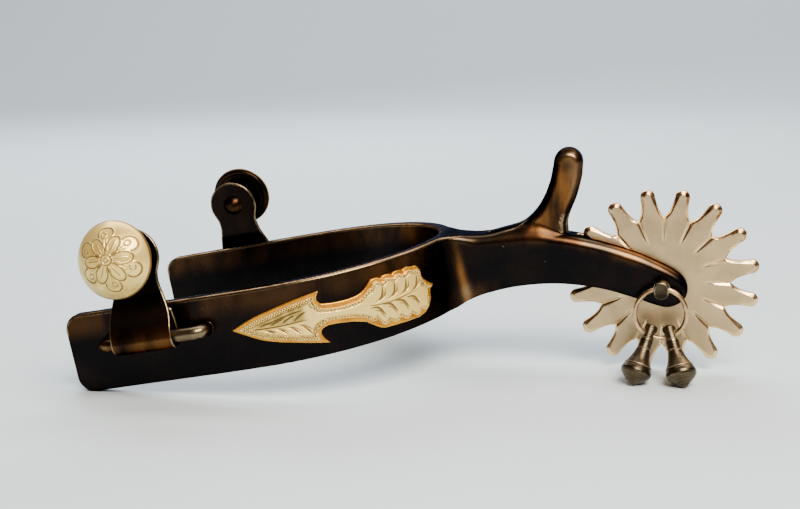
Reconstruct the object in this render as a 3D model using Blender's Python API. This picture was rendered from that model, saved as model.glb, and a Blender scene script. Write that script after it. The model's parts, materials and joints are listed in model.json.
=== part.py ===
"""A western spur with a chap guard, a star rowel, jingle bobs and swinging button hangers.

Every piece is modelled in the spur's own frame: +X runs from the boot heel to the rowel, +Z is up, -Y is
the near (outer) side, and the origin is the outermost point of the heel band at its top edge.  The frame
is then tipped so that the spur rests on its rowel and on the lower front corners of its band.
"""
from math import acos, asin, atan2, cos, hypot, pi, radians, sin, sqrt

import bmesh
import bpy
import numpy as np
from mathutils import Matrix, Vector

MM = 0.001
GAP = 0.3 * MM              # air between neighbouring pieces

# heel band
BAND_THICK = 4.0 * MM
BAND_HALF_WIDTH = 45.0 * MM     # outside of an arm at the band's widest place
BAND_BOW = 54.6 * MM            # from the heel to the widest place
BAND_LENGTH = 113.4 * MM        # from the heel to the ends of the arms
BAND_HEEL_HEIGHT = 22.8 * MM
BAND_TOE_HEIGHT = 24.2 * MM
BAND_CORNER = 5.0 * MM          # rounding of the arms' ends
BAND_CHAMFER = 0.7 * MM
BOW_DEPTH_POWER = 2.2           # the bow is a superellipse with these two powers
BOW_WIDTH_POWER = 1.72
TOE_IN = 0.053                  # slope of the arms towards each other
TOE_IN_RUN = 16.0 * MM          # stretch over which that slope starts

# shank, fork and chap guard
SHANK_HALF = 6.2 * MM
SHANK_BEVEL = 1.7 * MM
ROOT_FILLET = 7.0 * MM
GUARD_HALF = 4.3 * MM
GUARD_BEVEL = 1.5 * MM
GUARD_TIP = (39.8 * MM, 15.3 * MM)
GUARD_TIP_RADIUS = 4.4 * MM

# rowel and its pin
PIN_X = 61.8 * MM
PIN_Z = -25.7 * MM
PIN_RADIUS = 1.75 * MM
ROWEL_RADIUS = 28.6 * MM
ROWEL_POINTS = 16
ROWEL_TIP_RADIUS = 2.2 * MM
ROWEL_NOTCH = 0.69              # depth of the notches, as a share of the radius
ROWEL_HALF = 1.4 * MM
ROWEL_BEVEL = 0.45 * MM
FORK_SLOT_HALF = 1.8 * MM
FORK_SLOT_AIR = 0.9 * MM        # between the rowel's points and the closed end of the fork's slot
ROOT_START = -2.6 * MM          # stretch of the shank that flares out to the band
ROOT_END = 4.4 * MM
ROOT_EDGE = 1.2 * MM

# jingle ring and bobs
EYE_X = -0.8 * MM               # the eye sits a little off the pin's axis
EYE_Y = -9.8 * MM
EYE_RADIUS = 2.25 * MM
EYE_HALF = 1.65 * MM
RING_RADIUS = 7.5 * MM
WIRE_RADIUS = 0.7 * MM
RING_HOLE = 1.15 * MM
RING_LEAN = radians(2.0)
LEFT_SPREAD = radians(-26.5)    # place of each bob round the ring, from its lowest point
RIGHT_SPREAD = radians(24.5)
LEFT_TILT = radians(-19.7)      # sideways lean of each bob, which its loose hole allows
RIGHT_TILT = radians(16.9)
BOB_HOLE = 1.4 * MM
BOB_TOP = 3.2 * MM              # from the bob's hole to its top
BOB_REACH = 16.4 * MM           # from the bob's hole to its point

# button hangers
HINGE_X = -85.3 * MM
HINGE_Y = 49.3 * MM
HINGE_Z = -9.3 * MM
ROD_RADIUS = 1.9 * MM
ROD_BEND = 2.6 * MM
ROD_FRONT_X = -101.0 * MM
ROD_BACK_X = -67.0 * MM
HANGER_LEAN = radians(9.0)
STRAP_THICK = 1.1 * MM
WRAP_RADIUS = 2.8 * MM
HANGER_HALF = 9.5 * MM
NECK_HALF = 7.0 * MM
EYE_PLATE_RADIUS = 8.5 * MM
EYE_PLATE_HEIGHT = 24.3 * MM
TAB_HEIGHT = 8.4 * MM

# buttons
STUD_RADIUS = 1.6 * MM
STUD_HOLE = 1.9 * MM
SHOULDER_RADIUS = 2.6 * MM
DISC_RADIUS = 10.8 * MM
DISC_BACK = 9.2 * MM            # distance of the disc's back from the hanger's middle plane
DISC_THICK = 1.6 * MM
DOME_RADIUS = 11.0 * MM
DOME_RISE = 6.3 * MM
DOME_THICK = 0.7 * MM

# arrow
BACKING_THICK = 0.7 * MM
OVERLAY_THICK = 0.6 * MM
OVERLAY_INSET = 0.75 * MM

# turns that bring a turned piece's axis from Z to the named axis
AXIS_TURNS = {
    "X": Matrix.Rotation(pi / 2, 3, "Y"),
    "Y": Matrix.Rotation(-pi / 2, 3, "X"),
    "Z": Matrix.Identity(3),
}

MATERIALS = {
    "blued_steel": ((0.035, 0.030, 0.030), 0.28, 1.0),
    "bronze_steel": ((0.16, 0.115, 0.075), 0.35, 1.0),
    "polished_steel": ((0.62, 0.57, 0.50), 0.24, 1.0),
    "silver": ((0.86, 0.82, 0.70), 0.25, 1.0),
    "gold_brass": ((0.80, 0.52, 0.20), 0.28, 1.0),
}


# ---------------------------------------------------------------- tools

def clear_scene():
    for item in list(bpy.data.objects):
        bpy.data.objects.remove(item, do_unlink=True)


def material(name):
    found = bpy.data.materials.get(name)
    if found:
        return found
    colour, roughness, metallic = MATERIALS[name]
    made = bpy.data.materials.new(name)
    made.use_nodes = True
    shader = made.node_tree.nodes["Principled BSDF"]
    shader.inputs["Base Color"].default_value = (*colour, 1.0)
    shader.inputs["Roughness"].default_value = roughness
    shader.inputs["Metallic"].default_value = metallic
    return made


def empty(name, parent=None, location=(0, 0, 0), rotation=(0, 0, 0)):
    made = bpy.data.objects.new(name, None)
    made.parent = parent
    made.location = location
    made.rotation_euler = rotation
    bpy.context.scene.collection.objects.link(made)
    return made


def solid(name, bm, slot=None, parent=None, location=(0, 0, 0), rotation=(0, 0, 0)):
    """Turns a bmesh into a named object with outward faces."""
    bmesh.ops.remove_doubles(bm, verts=bm.verts, dist=1e-7)
    bmesh.ops.recalc_face_normals(bm, faces=bm.faces)
    mesh = bpy.data.meshes.new(name)
    bm.to_mesh(mesh)
    bm.free()
    mesh.shade_smooth()
    mesh.set_sharp_from_angle(angle=radians(35))
    made = bpy.data.objects.new(name, mesh)
    made.parent = parent
    made.location = location
    made.rotation_euler = rotation
    bpy.context.scene.collection.objects.link(made)
    if slot:
        mesh.materials.append(material(slot))
    return made


def bevel(target, width, segments=2):
    edge = target.modifiers.new("edge", "BEVEL")
    edge.width = width
    edge.segments = segments
    edge.limit_method = "ANGLE"
    edge.angle_limit = radians(50)
    return edge


def boolean(target, tool, operation="DIFFERENCE"):
    """Cuts or joins a tool object, which the finished part leaves out."""
    cut = target.modifiers.new(tool.name, "BOOLEAN")
    cut.operation = operation
    cut.object = tool
    tool.hide_render = True
    tool.display_type = "WIRE"


def loft(rings, closed=False):
    """Skins a list of vertex rings; the ends are capped unless the rings close on themselves."""
    bm = bmesh.new()
    made = [[bm.verts.new(point) for point in ring] for ring in rings]
    count = len(made[0])
    pairs = list(zip(made, made[1:]))
    if closed:
        pairs.append((made[-1], made[0]))
    for low, high in pairs:
        for i in range(count):
            j = (i + 1) % count
            bm.faces.new((low[i], low[j], high[j], high[i]))
    if not closed:
        bm.faces.new(made[0][::-1])
        bm.faces.new(made[-1])
    return bm


def prism(outline, half, across="Y"):
    """Extrudes an XZ outline along Y, or an XY outline along Z, to plus and minus half."""
    def place(point, side):
        return (point[0], side, point[1]) if across == "Y" else (point[0], point[1], side)
    return loft([[place(point, side) for point in outline] for side in (-half, half)])


def turned(profile, segments=24, axis="Z"):
    """Revolves (height, radius) pairs; a zero radius closes the end on the axis."""
    turn = AXIS_TURNS[axis]
    bm = bmesh.new()
    rings = []
    for height, radius in profile:
        count = 1 if radius == 0 else segments
        ring = []
        for i in range(count):
            angle = 2 * pi * i / segments
            place = Vector((radius * cos(angle), radius * sin(angle), height))
            ring.append(bm.verts.new(turn @ place))
        rings.append(ring)
    for low, high in zip(rings, rings[1:]):
        for i in range(segments):
            j = (i + 1) % segments
            corners = [low[i % len(low)], low[j % len(low)], high[j % len(high)], high[i % len(high)]]
            bm.faces.new(list(dict.fromkeys(corners)))
    for ring in (rings[0], rings[-1]):
        if len(ring) > 1:
            bm.faces.new(ring)
    return bm


def tube(path, radius, sides=10):
    """A round bar along a planar path in the XY plane."""
    rings = []
    for i, point in enumerate(path):
        before = path[max(i - 1, 0)]
        after = path[min(i + 1, len(path) - 1)]
        tangent = (Vector(after) - Vector(before)).normalized()
        side = tangent.cross(Vector((0, 0, 1)))
        ring = []
        for k in range(sides):
            angle = 2 * pi * (k + 0.5) / sides
            ring.append(Vector(point) + radius * (cos(angle) * side + sin(angle) * Vector((0, 0, 1))))
        rings.append(ring)
    return loft(rings)


def arc(centre, radius, start, end, count):
    """Points on an arc; the angles are in degrees from +X towards the second axis."""
    points = []
    for i in range(count + 1):
        angle = radians(start + (end - start) * i / count)
        points.append((centre[0] + radius * cos(angle), centre[1] + radius * sin(angle)))
    return points


def smooth_run(points, steps=3):
    """A Catmull-Rom curve through the points, with its ends kept."""
    knots = [Vector(point) for point in points]
    padded = [knots[0]] + knots + [knots[-1]]
    run = []
    for a, b, c, d in zip(padded, padded[1:], padded[2:], padded[3:]):
        for i in range(steps):
            t = i / steps
            linear = (c - a) * t
            square = (2 * a - 5 * b + 4 * c - d) * t ** 2
            cube = (3 * b - a - 3 * c + d) * t ** 3
            run.append(tuple(b + (linear + square + cube) / 2))
    run.append(tuple(points[-1]))
    return run


def mm(*points):
    return [tuple(value * MM for value in point) for point in points]


# ---------------------------------------------------------------- heel band

def bow_point(turn):
    """Outer edge of the bow, from the heel (0) to the widest place (pi/2), as (forward, half-width)."""
    forward = BAND_BOW * (1 - cos(turn) ** (2 / BOW_DEPTH_POWER))
    return forward, BAND_HALF_WIDTH * sin(turn) ** (2 / BOW_WIDTH_POWER)


def arm_half_width(forward):
    beyond = forward - BAND_BOW
    if beyond < TOE_IN_RUN:
        return BAND_HALF_WIDTH - TOE_IN * beyond ** 2 / (2 * TOE_IN_RUN)
    return BAND_HALF_WIDTH - TOE_IN * (beyond - TOE_IN_RUN / 2)


def band_edge(bow_steps, arm_places):
    """Stations (forward, half-width, normal) of one side, from the heel to the end of the arm."""
    stations = []
    small = 1e-4
    for i in range(bow_steps):
        turn = (pi / 2 - small) * i / bow_steps
        here = Vector(bow_point(turn))
        along = Vector(bow_point(turn + small)) - Vector(bow_point(max(turn - small, 0)))
        normal = Vector((-along.y, along.x)).normalized() if i else Vector((-1, 0))
        stations.append((here.x, here.y, normal))
    for forward in arm_places:
        slope = (arm_half_width(forward + small) - arm_half_width(forward - small)) / (2 * small)
        stations.append((forward, arm_half_width(forward), Vector((-slope, 1)).normalized()))
    return stations


def band_section(station, side):
    """One cross-section of the band; the arm's corner is rounded in side view near its end."""
    forward, half_width, normal = station
    height = BAND_HEEL_HEIGHT + (BAND_TOE_HEIGHT - BAND_HEEL_HEIGHT) * forward / BAND_LENGTH
    short = max(BAND_CORNER - (BAND_LENGTH - forward), 0.0)
    drop = BAND_CORNER - sqrt(BAND_CORNER ** 2 - short ** 2)
    top, bottom = -drop, drop - height
    chamfer = BAND_CHAMFER
    outer, inner = 0.0, -BAND_THICK
    corners = [(outer, top - chamfer), (outer, bottom + chamfer),
               (outer - chamfer, bottom), (inner + chamfer, bottom),
               (inner, bottom + chamfer), (inner, top - chamfer),
               (inner + chamfer, top), (outer - chamfer, top)]
    ring = []
    for depth, z in corners:
        place = Vector((forward, half_width)) + depth * normal
        ring.append((-place.x, side * place.y, z))
    return ring


def make_heel_band(spur):
    straight = BAND_BOW + TOE_IN_RUN
    places = [BAND_BOW, BAND_BOW + TOE_IN_RUN / 2, straight]
    places += [BAND_LENGTH - BAND_CORNER * (1 - sin(radians(a))) for a in (0, 22.5, 45, 67.5, 90)]
    half = band_edge(13, places)
    rings = [band_section(station, -1) for station in half[::-1]]
    rings += [band_section(station, 1) for station in half[1:]]
    return solid("heel_band", loft(rings), "blued_steel", spur)


def band_outer_run(count=400):
    """Cumulative length along the band's outer face, with the place and normal at each sample."""
    places = np.linspace(BAND_BOW, BAND_LENGTH, count)
    stations = band_edge(count, places)
    points = np.array([(s[0], s[1]) for s in stations])
    normals = np.array([tuple(s[2]) for s in stations])
    lengths = np.concatenate(([0.0], np.cumsum(np.linalg.norm(np.diff(points, axis=0), axis=1))))
    return lengths, points, normals


# ---------------------------------------------------------------- shank

def shank_outline():
    top = mm((-4, -0.6), (3, -1.0), (9, -1.9), (16, -2.3), (24, -3.2), (34, -5.6), (45, -9.7), (55, -14.7))
    fork_end = mm((60.4, -18.1), (64.4, -21.0), (67.4, -23.8), (68.7, -27.0), (67.9, -30.1),
                  (65.4, -32.1), (61.8, -32.7))
    bottom = mm((58.0, -31.2), (53.4, -28.7), (43, -23.9), (31, -20.6), (19, -19.5), (9, -20.2),
                (3, -21.4), (-4, -23.4))
    return smooth_run(top + fork_end + bottom)


def guard_outline():
    heel_side = mm((11, -2.6), (17, -2.0), (21.3, -1.1), (24.7, 0.4), (28.3, 3.2), (31.3, 7.0),
                   (33.6, 11.0))
    rowel_side = mm((43.2, 10.6), (41.8, 7.2), (40.2, 4.0), (38.2, 0.8), (36.6, -2.6), (36.2, -6.0))
    tip = arc(GUARD_TIP, GUARD_TIP_RADIUS, 172, -14, 8)
    return smooth_run(heel_side, 2) + tip + smooth_run(rowel_side, 2) + mm((33, -9), (20, -7))


def make_shank(spur):
    shank = solid("shank", prism(shank_outline(), SHANK_HALF), "blued_steel", spur)
    bevel(shank, SHANK_BEVEL, 3)
    guard = solid("shank_guard_tool", prism(guard_outline(), GUARD_HALF), None, spur)
    bevel(guard, GUARD_BEVEL, 2)
    boolean(shank, guard, "UNION")
    boolean(shank, make_root_tool(spur), "UNION")
    boolean(shank, make_heel_clearance_tool(spur))
    boolean(shank, disc_tool("fork_slot_tool", spur, ROWEL_RADIUS + FORK_SLOT_AIR, FORK_SLOT_HALF))
    boolean(shank, disc_tool("fork_bore_tool", spur, PIN_RADIUS + GAP, 2 * SHANK_HALF, 20))
    return shank


def make_root_tool(spur):
    """The flare that carries the shank's sides into the back of the band."""
    steps = 7
    rings = []
    for i in range(steps + 1):
        x = ROOT_START + (ROOT_END - ROOT_START) * i / steps
        sweep = sqrt(ROOT_FILLET ** 2 - 0.98 * (ROOT_END - x) ** 2)
        half = SHANK_HALF - 0.05 * MM + ROOT_FILLET - sweep
        top = -0.35 * MM - 0.08 * (x - ROOT_START)
        bottom = -22.9 * MM + 0.22 * (x - ROOT_START)
        edge = ROOT_EDGE
        section = [(half, top - edge), (half - edge, top), (edge - half, top), (-half, top - edge),
                   (-half, bottom + edge), (edge - half, bottom), (half - edge, bottom),
                   (half, bottom + edge)]
        rings.append([(x, y, z) for y, z in section])
    return solid("shank_root_tool", loft(rings), None, spur)


def make_heel_clearance_tool(spur):
    """The band's outer face, grown by the gap, which the shank's root is hollowed to fit."""
    half = [(-(x - GAP * abs(n.x)), w + GAP * n.y) for x, w, n in band_edge(26, [])[:18]]
    outline = [(x, -w) for x, w in half[::-1]] + half[1:]
    return solid("heel_clearance_tool", prism(outline, 40 * MM, "Z"), None, spur)


def drill(name, parent, radius, axis, place=(0, 0, 0)):
    """A cutter for a cross-hole."""
    bm = turned([(-4 * MM, radius), (4 * MM, radius)], 16, axis)
    return solid(name, bm, None, parent, place)


def disc_tool(name, parent, radius, half, segments=64, place=(PIN_X, 0, PIN_Z)):
    bm = turned([(-half, radius), (half, radius)], segments, "Y")
    return solid(name, bm, None, parent, place)


# ---------------------------------------------------------------- rowel and pin

def petal_edge():
    """One side of a rowel point, from the notch to the round tip, as (radius, half-width)."""
    notch = ROWEL_NOTCH * ROWEL_RADIUS
    tip_centre = ROWEL_RADIUS - ROWEL_TIP_RADIUS
    edge = [(notch * cos(pi / ROWEL_POINTS), notch * sin(pi / ROWEL_POINTS)),
            (0.725 * ROWEL_RADIUS, 3.15 * MM), (0.78 * ROWEL_RADIUS, 2.65 * MM),
            (0.86 * ROWEL_RADIUS, 2.3 * MM)]
    edge += arc((tip_centre, 0), ROWEL_TIP_RADIUS, 84, 0, 3)
    return edge


def rowel_outline():
    side = petal_edge()
    petal = [(r, -w) for r, w in side] + [(r, w) for r, w in side[-2:0:-1]]
    outline = []
    for k in range(ROWEL_POINTS):
        angle = 2 * pi * (k + 0.5) / ROWEL_POINTS
        outline += [(r * cos(angle) - w * sin(angle), r * sin(angle) + w * cos(angle)) for r, w in petal]
    return outline


def make_rowel(axle, rest_tilt):
    rowel = solid("rowel", prism(rowel_outline(), ROWEL_HALF), "polished_steel", axle,
                  rotation=(0, rest_tilt, 0))
    bevel(rowel, ROWEL_BEVEL, 1)
    bore = disc_tool("rowel_bore_tool", axle, PIN_RADIUS + GAP, 5 * MM, 20, (0, 0, 0))
    boolean(rowel, bore)
    return rowel


def make_rowel_pin(axle):
    head = SHANK_HALF + GAP
    profile = [(-EYE_Y - EYE_RADIUS * 0.6, PIN_RADIUS), (-head, PIN_RADIUS), (-head, 3.0 * MM),
               (-head - 0.5 * MM, 2.9 * MM), (-head - 1.1 * MM, 2.0 * MM), (-head - 1.3 * MM, 0)]
    pin = solid("rowel_pin", turned(profile, 20, "Y"), "bronze_steel", axle)
    pin.rotation_euler = (0, 0, pi)
    edge = 0.5 * MM
    eye_profile = [(-EYE_HALF, EYE_RADIUS - edge), (edge - EYE_HALF, EYE_RADIUS),
                   (EYE_HALF - edge, EYE_RADIUS), (EYE_HALF, EYE_RADIUS - edge)]
    place = (EYE_X, EYE_Y, 0)
    eye = solid("pin_eye_tool", turned(eye_profile, 20, "X"), None, axle, place)
    boolean(pin, eye, "UNION")
    boolean(pin, drill("pin_hole_tool", axle, RING_HOLE, "X", place))
    return pin


# ---------------------------------------------------------------- jingle ring and bobs

def make_jingle_ring(ring_hinge):
    rings = []
    for i in range(36):
        angle = 2 * pi * i / 36
        out = Vector((sin(angle), 0, cos(angle)))
        centre = Vector((0, 0, -RING_RADIUS)) + RING_RADIUS * out
        rings.append([centre + WIRE_RADIUS * (cos(a) * out + sin(a) * Vector((0, 1, 0)))
                      for a in (2 * pi * (k + 0.5) / 8 for k in range(8))])
    return solid("jingle_ring", loft(rings, closed=True), "polished_steel", ring_hinge)


def bob_profile():
    """Half of a turned bob, as (distance down from its hole, radius), all in metres."""
    neck = mm((-2.6, 1.95), (1.15, 2.0), (1.3, 1.85), (1.45, 2.0), (4.0, 2.05), (7.0, 2.7), (8.6, 3.3))
    head = mm((9.6, 4.05), (9.85, 4.15), (10.05, 4.05), (11.0, 4.45), (11.9, 4.6), (12.9, 4.3), (15.0, 2.0))
    top = [(-BOB_TOP, 0), (-BOB_TOP, 1.4 * MM)]
    point = [(BOB_REACH - 0.3 * MM, 0.35 * MM), (BOB_REACH, 0)]
    return top + neck + head + point


def make_bob(name, ring_hinge, spread, tilt, pin_height):
    """A turned bob hung on the ring; its origin is in its hole and its point touches the ground."""
    place = (RING_RADIUS * sin(spread), 0, -RING_RADIUS - RING_RADIUS * cos(spread))
    hinge = empty(name + "_hinge", ring_hinge, place, (0, -tilt, 0))
    bm = turned([(-depth, radius) for depth, radius in bob_profile()], 20)
    swing = bob_swing(pin_height, spread, tilt)
    bob = solid(name, bm, "bronze_steel", hinge, rotation=(-swing, 0, 0))
    boolean(bob, drill(name + "_hole_tool", bob, BOB_HOLE, "X"))
    return bob


# ---------------------------------------------------------------- button hangers

def make_staple(name, spur, side):
    """A round rod along the arm with both ends turned in to it."""
    ends = []
    for x, start, finish in ((ROD_FRONT_X, 180, 90), (ROD_BACK_X, 90, 0)):
        inward = 1 if x == ROD_FRONT_X else -1
        centre = (x + inward * ROD_BEND, HINGE_Y - ROD_BEND)
        corner = arc(centre, ROD_BEND, start, finish, 5)
        foot = (x, arm_half_width(-x) + GAP + 0.1 * MM)
        ends.append([foot] + corner if inward > 0 else corner + [foot])
    path = [(x, side * y, HINGE_Z) for x, y in ends[0] + ends[1]]
    return solid(name, tube(path, ROD_RADIUS, 12), "blued_steel", spur)


def hanger_half_width(height):
    """Half-width of the keyhole strap at a height above the hinge."""
    above = height - EYE_PLATE_HEIGHT
    shoulder = sqrt(EYE_PLATE_RADIUS ** 2 - NECK_HALF ** 2)
    if above > -shoulder:
        return sqrt(max(EYE_PLATE_RADIUS ** 2 - above ** 2, (1.0 * MM) ** 2))
    flare = min(max((17.5 * MM - height) / (12.0 * MM), 0.0), 1.0)
    return NECK_HALF + (HANGER_HALF - NECK_HALF) * flare * flare * (3 - 2 * flare)


def strap_run():
    """Middle line of the folded strap, as (outward, height): eye, neck, round the rod, up to the tab."""
    top = EYE_PLATE_HEIGHT + EYE_PLATE_RADIUS
    eye = [(0.0, top - 0.06 * MM)]
    eye += [(0.0, EYE_PLATE_HEIGHT + EYE_PLATE_RADIUS * sin(radians(a))) for a in range(70, -43, -14)]
    neck = mm((0, 17.2), (0, 15.6), (0, 14.0), (0.15, 12.2), (0.8, 9.2), (1.8, 5.2), (2.6, 2.4))
    wrap = []
    for angle in range(0, 181, 20):
        wrap.append((WRAP_RADIUS * cos(radians(angle)), -WRAP_RADIUS * sin(radians(angle))))
    tab = mm((-2.65, 2.4), (-1.9, 4.8), (-1.0, 6.9)) + [(-0.6 * MM, TAB_HEIGHT)]
    return eye + neck + wrap + tab


def make_hanger(name, hinge):
    run = [Vector(point) for point in strap_run()]
    rings = []
    for i, point in enumerate(run):
        along = (run[min(i + 1, len(run) - 1)] - run[max(i - 1, 0)]).normalized()
        across = Vector((-along.y, along.x)) * STRAP_THICK / 2
        half = hanger_half_width(point.y)
        a, b = point + across, point - across
        corners = [(-half, -a.x, a.y), (half, -a.x, a.y), (half, -b.x, b.y), (-half, -b.x, b.y)]
        rings.append(corners)
    hanger = solid(name, loft(rings), "blued_steel", hinge)
    boolean(hanger, drill(name + "_hole_tool", hinge, STUD_HOLE, "Y", (0, 0, EYE_PLATE_HEIGHT)))
    return hanger


def button_piece(name, profile, slot, hinge, segments):
    """Turned about the button's axis; heights are measured outwards from the hanger's middle plane."""
    bm = turned([(-height, radius) for height, radius in profile], segments, "Y")
    return solid(name, bm, slot, hinge, (0, 0, EYE_PLATE_HEIGHT))


def make_stud(name, hinge):
    face = STRAP_THICK / 2 + GAP
    back = DISC_BACK - GAP
    front = DISC_BACK + DISC_THICK + GAP
    rivet = [(-face - 1.5 * MM, 0), (-face - 1.3 * MM, 1.6 * MM), (-face - 0.6 * MM, 2.8 * MM),
             (-face, 3.0 * MM)]
    spacer = [(-face, STUD_RADIUS), (face, STUD_RADIUS), (face, SHOULDER_RADIUS), (back, SHOULDER_RADIUS)]
    head = [(back, STUD_RADIUS), (front, STUD_RADIUS), (front, SHOULDER_RADIUS),
            (front + 0.8 * MM, SHOULDER_RADIUS - 0.5 * MM), (front + 0.9 * MM, 0)]
    profile = rivet + spacer + head
    return button_piece(name, profile, "blued_steel", hinge, 20)


def make_disc(name, hinge):
    edge = 0.5 * MM
    front = DISC_BACK + DISC_THICK
    profile = [(DISC_BACK, STUD_HOLE), (DISC_BACK, DISC_RADIUS - edge), (DISC_BACK + edge, DISC_RADIUS),
               (front, DISC_RADIUS), (front, STUD_HOLE)]
    rings = []
    for i in range(32):
        angle = 2 * pi * i / 32
        rings.append([(radius * cos(angle), -height, radius * sin(angle)) for height, radius in profile])
    return solid(name, loft(rings, closed=True), "blued_steel", hinge, (0, 0, EYE_PLATE_HEIGHT))


def dome_arc(radius, rise, base, steps):
    """Spherical cap as (height, radius) pairs, from the rim to the pole."""
    ball = (radius ** 2 + rise ** 2) / (2 * rise)
    widest = asin(radius / ball)
    return [(base + rise - ball + ball * cos(widest * (1 - i / steps)), ball * sin(widest * (1 - i / steps)))
            for i in range(steps)] + [(base + rise, 0)]


def make_dome(name, hinge):
    """A domed cap whose rim is seated on the front of the disc."""
    rim = DISC_BACK + DISC_THICK + GAP
    outer = dome_arc(DOME_RADIUS, DOME_RISE, rim, 7)
    inner = dome_arc(DOME_RADIUS - DOME_THICK, DOME_RISE - DOME_THICK, rim, 6)
    return button_piece(name, inner[::-1] + outer, "silver", hinge, 32)


def make_button_set(side_name, spur, side):
    make_staple(side_name + "_hinge_staple", spur, side)
    facing = 0 if side < 0 else pi
    hinge = empty(side_name + "_hinge", spur, (HINGE_X, side * HINGE_Y, HINGE_Z), (0, 0, facing))
    lean = empty(side_name + "_lean", hinge, rotation=(-HANGER_LEAN, 0, 0))
    make_hanger(side_name + "_hanger", lean)
    make_stud(side_name + "_button_stud", lean)
    make_disc(side_name + "_button_disc", lean)
    make_dome(side_name + "_button_dome", lean)


# ---------------------------------------------------------------- arrow

def arrow_outline():
    """Arrow on the arm's outer face, as (distance along the band from the heel, height), in metres."""
    head_top = smooth_run(mm((83.4, -11.1), (77.3, -8.5), (70.9, -6.7), (64.0, -5.1), (56.4, -3.9)), 2)
    notch_top = mm((57.3, -5.6), (57.4, -6.7), (56.4, -7.8))
    shaft_top = mm((53.4, -8.2), (49.2, -8.3), (45.9, -7.9), (43.6, -6.9), (41.4, -5.0))
    scallops = []
    for i in range(4):
        start = 41.4 - 3.75 * i
        rise = 0.1 * i
        scallops += mm((start - 1.2, rise - 4.45), (start - 2.6, rise - 4.5),
                       (start - 3.75, 1.5 * rise - 4.95))
    tail = mm((24.9, -4.6), (23.5, -6.2), (23.4, -8.3), (21.6, -10.3), (19.1, -11.9), (20.9, -13.1),
              (21.2, -15.4), (22.6, -17.8), (24.4, -19.1))
    belly = mm((27.0, -19.8), (31.0, -19.8), (35.5, -19.6), (39.6, -19.4), (42.2, -18.0), (44.6, -16.2))
    shaft_low = mm((48.4, -15.1), (52.0, -14.6), (55.2, -14.4), (57.2, -15.0), (57.9, -16.2), (57.2, -18.0))
    head_low = smooth_run(mm((55.9, -19.5), (60.0, -18.7), (65.0, -17.6), (70.6, -16.4), (76.0, -14.7)), 2)
    return head_top + notch_top + shaft_top + scallops + tail + smooth_run(belly, 2) + shaft_low + head_low


def inset_outline(outline, amount):
    """Moves a counter-clockwise outline inwards, with limited mitres at its sharp corners."""
    moved = []
    count = len(outline)
    for i in range(count):
        before = Vector(outline[i - 1])
        here = Vector(outline[i])
        after = Vector(outline[(i + 1) % count])
        first = (here - before).normalized()
        second = (after - here).normalized()
        left = Vector((-first.y, first.x)) + Vector((-second.y, second.x))
        mitre = left.normalized() * amount / max(left.length / 2, 0.45)
        moved.append(tuple(here + mitre))
    return moved


def bent_plate(name, outline, lift, thick, slot, spur):
    """A thin plate cut to the outline and bent to the near arm's outer face."""
    bm = loft([[(a, z, level) for a, z in outline] for level in (lift, lift + thick)])
    bmesh.ops.triangulate(bm, faces=[f for f in bm.faces if len(f.verts) > 4])
    start = min(a for a, _ in outline)
    end = max(a for a, _ in outline)
    steps = 12
    for i in range(1, steps):
        place = (start + (end - start) * i / steps, 0, 0)
        everything = list(bm.verts) + list(bm.edges) + list(bm.faces)
        bmesh.ops.bisect_plane(bm, geom=everything, dist=1e-6, plane_co=place, plane_no=(1, 0, 0))
    bmesh.ops.triangulate(bm, faces=bm.faces)
    lengths, points, normals = band_outer_run()
    for vert in bm.verts:
        along, height, level = vert.co
        columns = (*points.T, *normals.T)
        forward, half, ahead, out = (np.interp(along, lengths, column) for column in columns)
        vert.co = (-(forward + ahead * level), -(half + out * level), height)
    return solid(name, bm, slot, spur)


def make_arrow(spur):
    outline = arrow_outline()
    bent_plate("arrow_backing", outline, GAP, BACKING_THICK, "gold_brass", spur)
    face = inset_outline(outline, OVERLAY_INSET)
    bent_plate("arrow_overlay", face, 2 * GAP + BACKING_THICK, OVERLAY_THICK, "silver", spur)


# ---------------------------------------------------------------- resting pose

def rest_angle():
    """Tip of the spur's frame that sets the rowel and the band's lower front corners on one plane."""
    rowel_drop = (ROWEL_RADIUS - ROWEL_TIP_RADIUS) * cos(pi / ROWEL_POINTS) + ROWEL_TIP_RADIUS
    corner_x = BAND_CORNER - BAND_LENGTH
    corner_z = BAND_CORNER - BAND_TOE_HEIGHT
    run = PIN_X - corner_x
    rise = PIN_Z - corner_z
    return asin((rowel_drop - BAND_CORNER) / hypot(run, rise)) - atan2(rise, run), rowel_drop


def bob_swing(pin_height, spread, tilt):
    """Angle between the ring and a bob that brings the bob's point down to the ground."""
    hole_height = pin_height - RING_RADIUS * (1 + cos(spread)) * cos(RING_LEAN)
    return acos((hole_height - 0.1 * MM) / (BOB_REACH * cos(tilt))) - RING_LEAN


def stand_on_origin(spur):
    """Moves the spur so that the bottom centre of its bounding box is the origin."""
    bpy.context.view_layer.update()
    graph = bpy.context.evaluated_depsgraph_get()
    corners = []
    for item in bpy.context.scene.objects:
        if item.type == "MESH" and not item.hide_render:
            shape = item.evaluated_get(graph)
            corners += [shape.matrix_world @ v.co for v in shape.data.vertices]
    places = np.array([tuple(c) for c in corners])
    low, high = places.min(axis=0), places.max(axis=0)
    spur.location = (-(low[0] + high[0]) / 2, -(low[1] + high[1]) / 2, -low[2])


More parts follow.
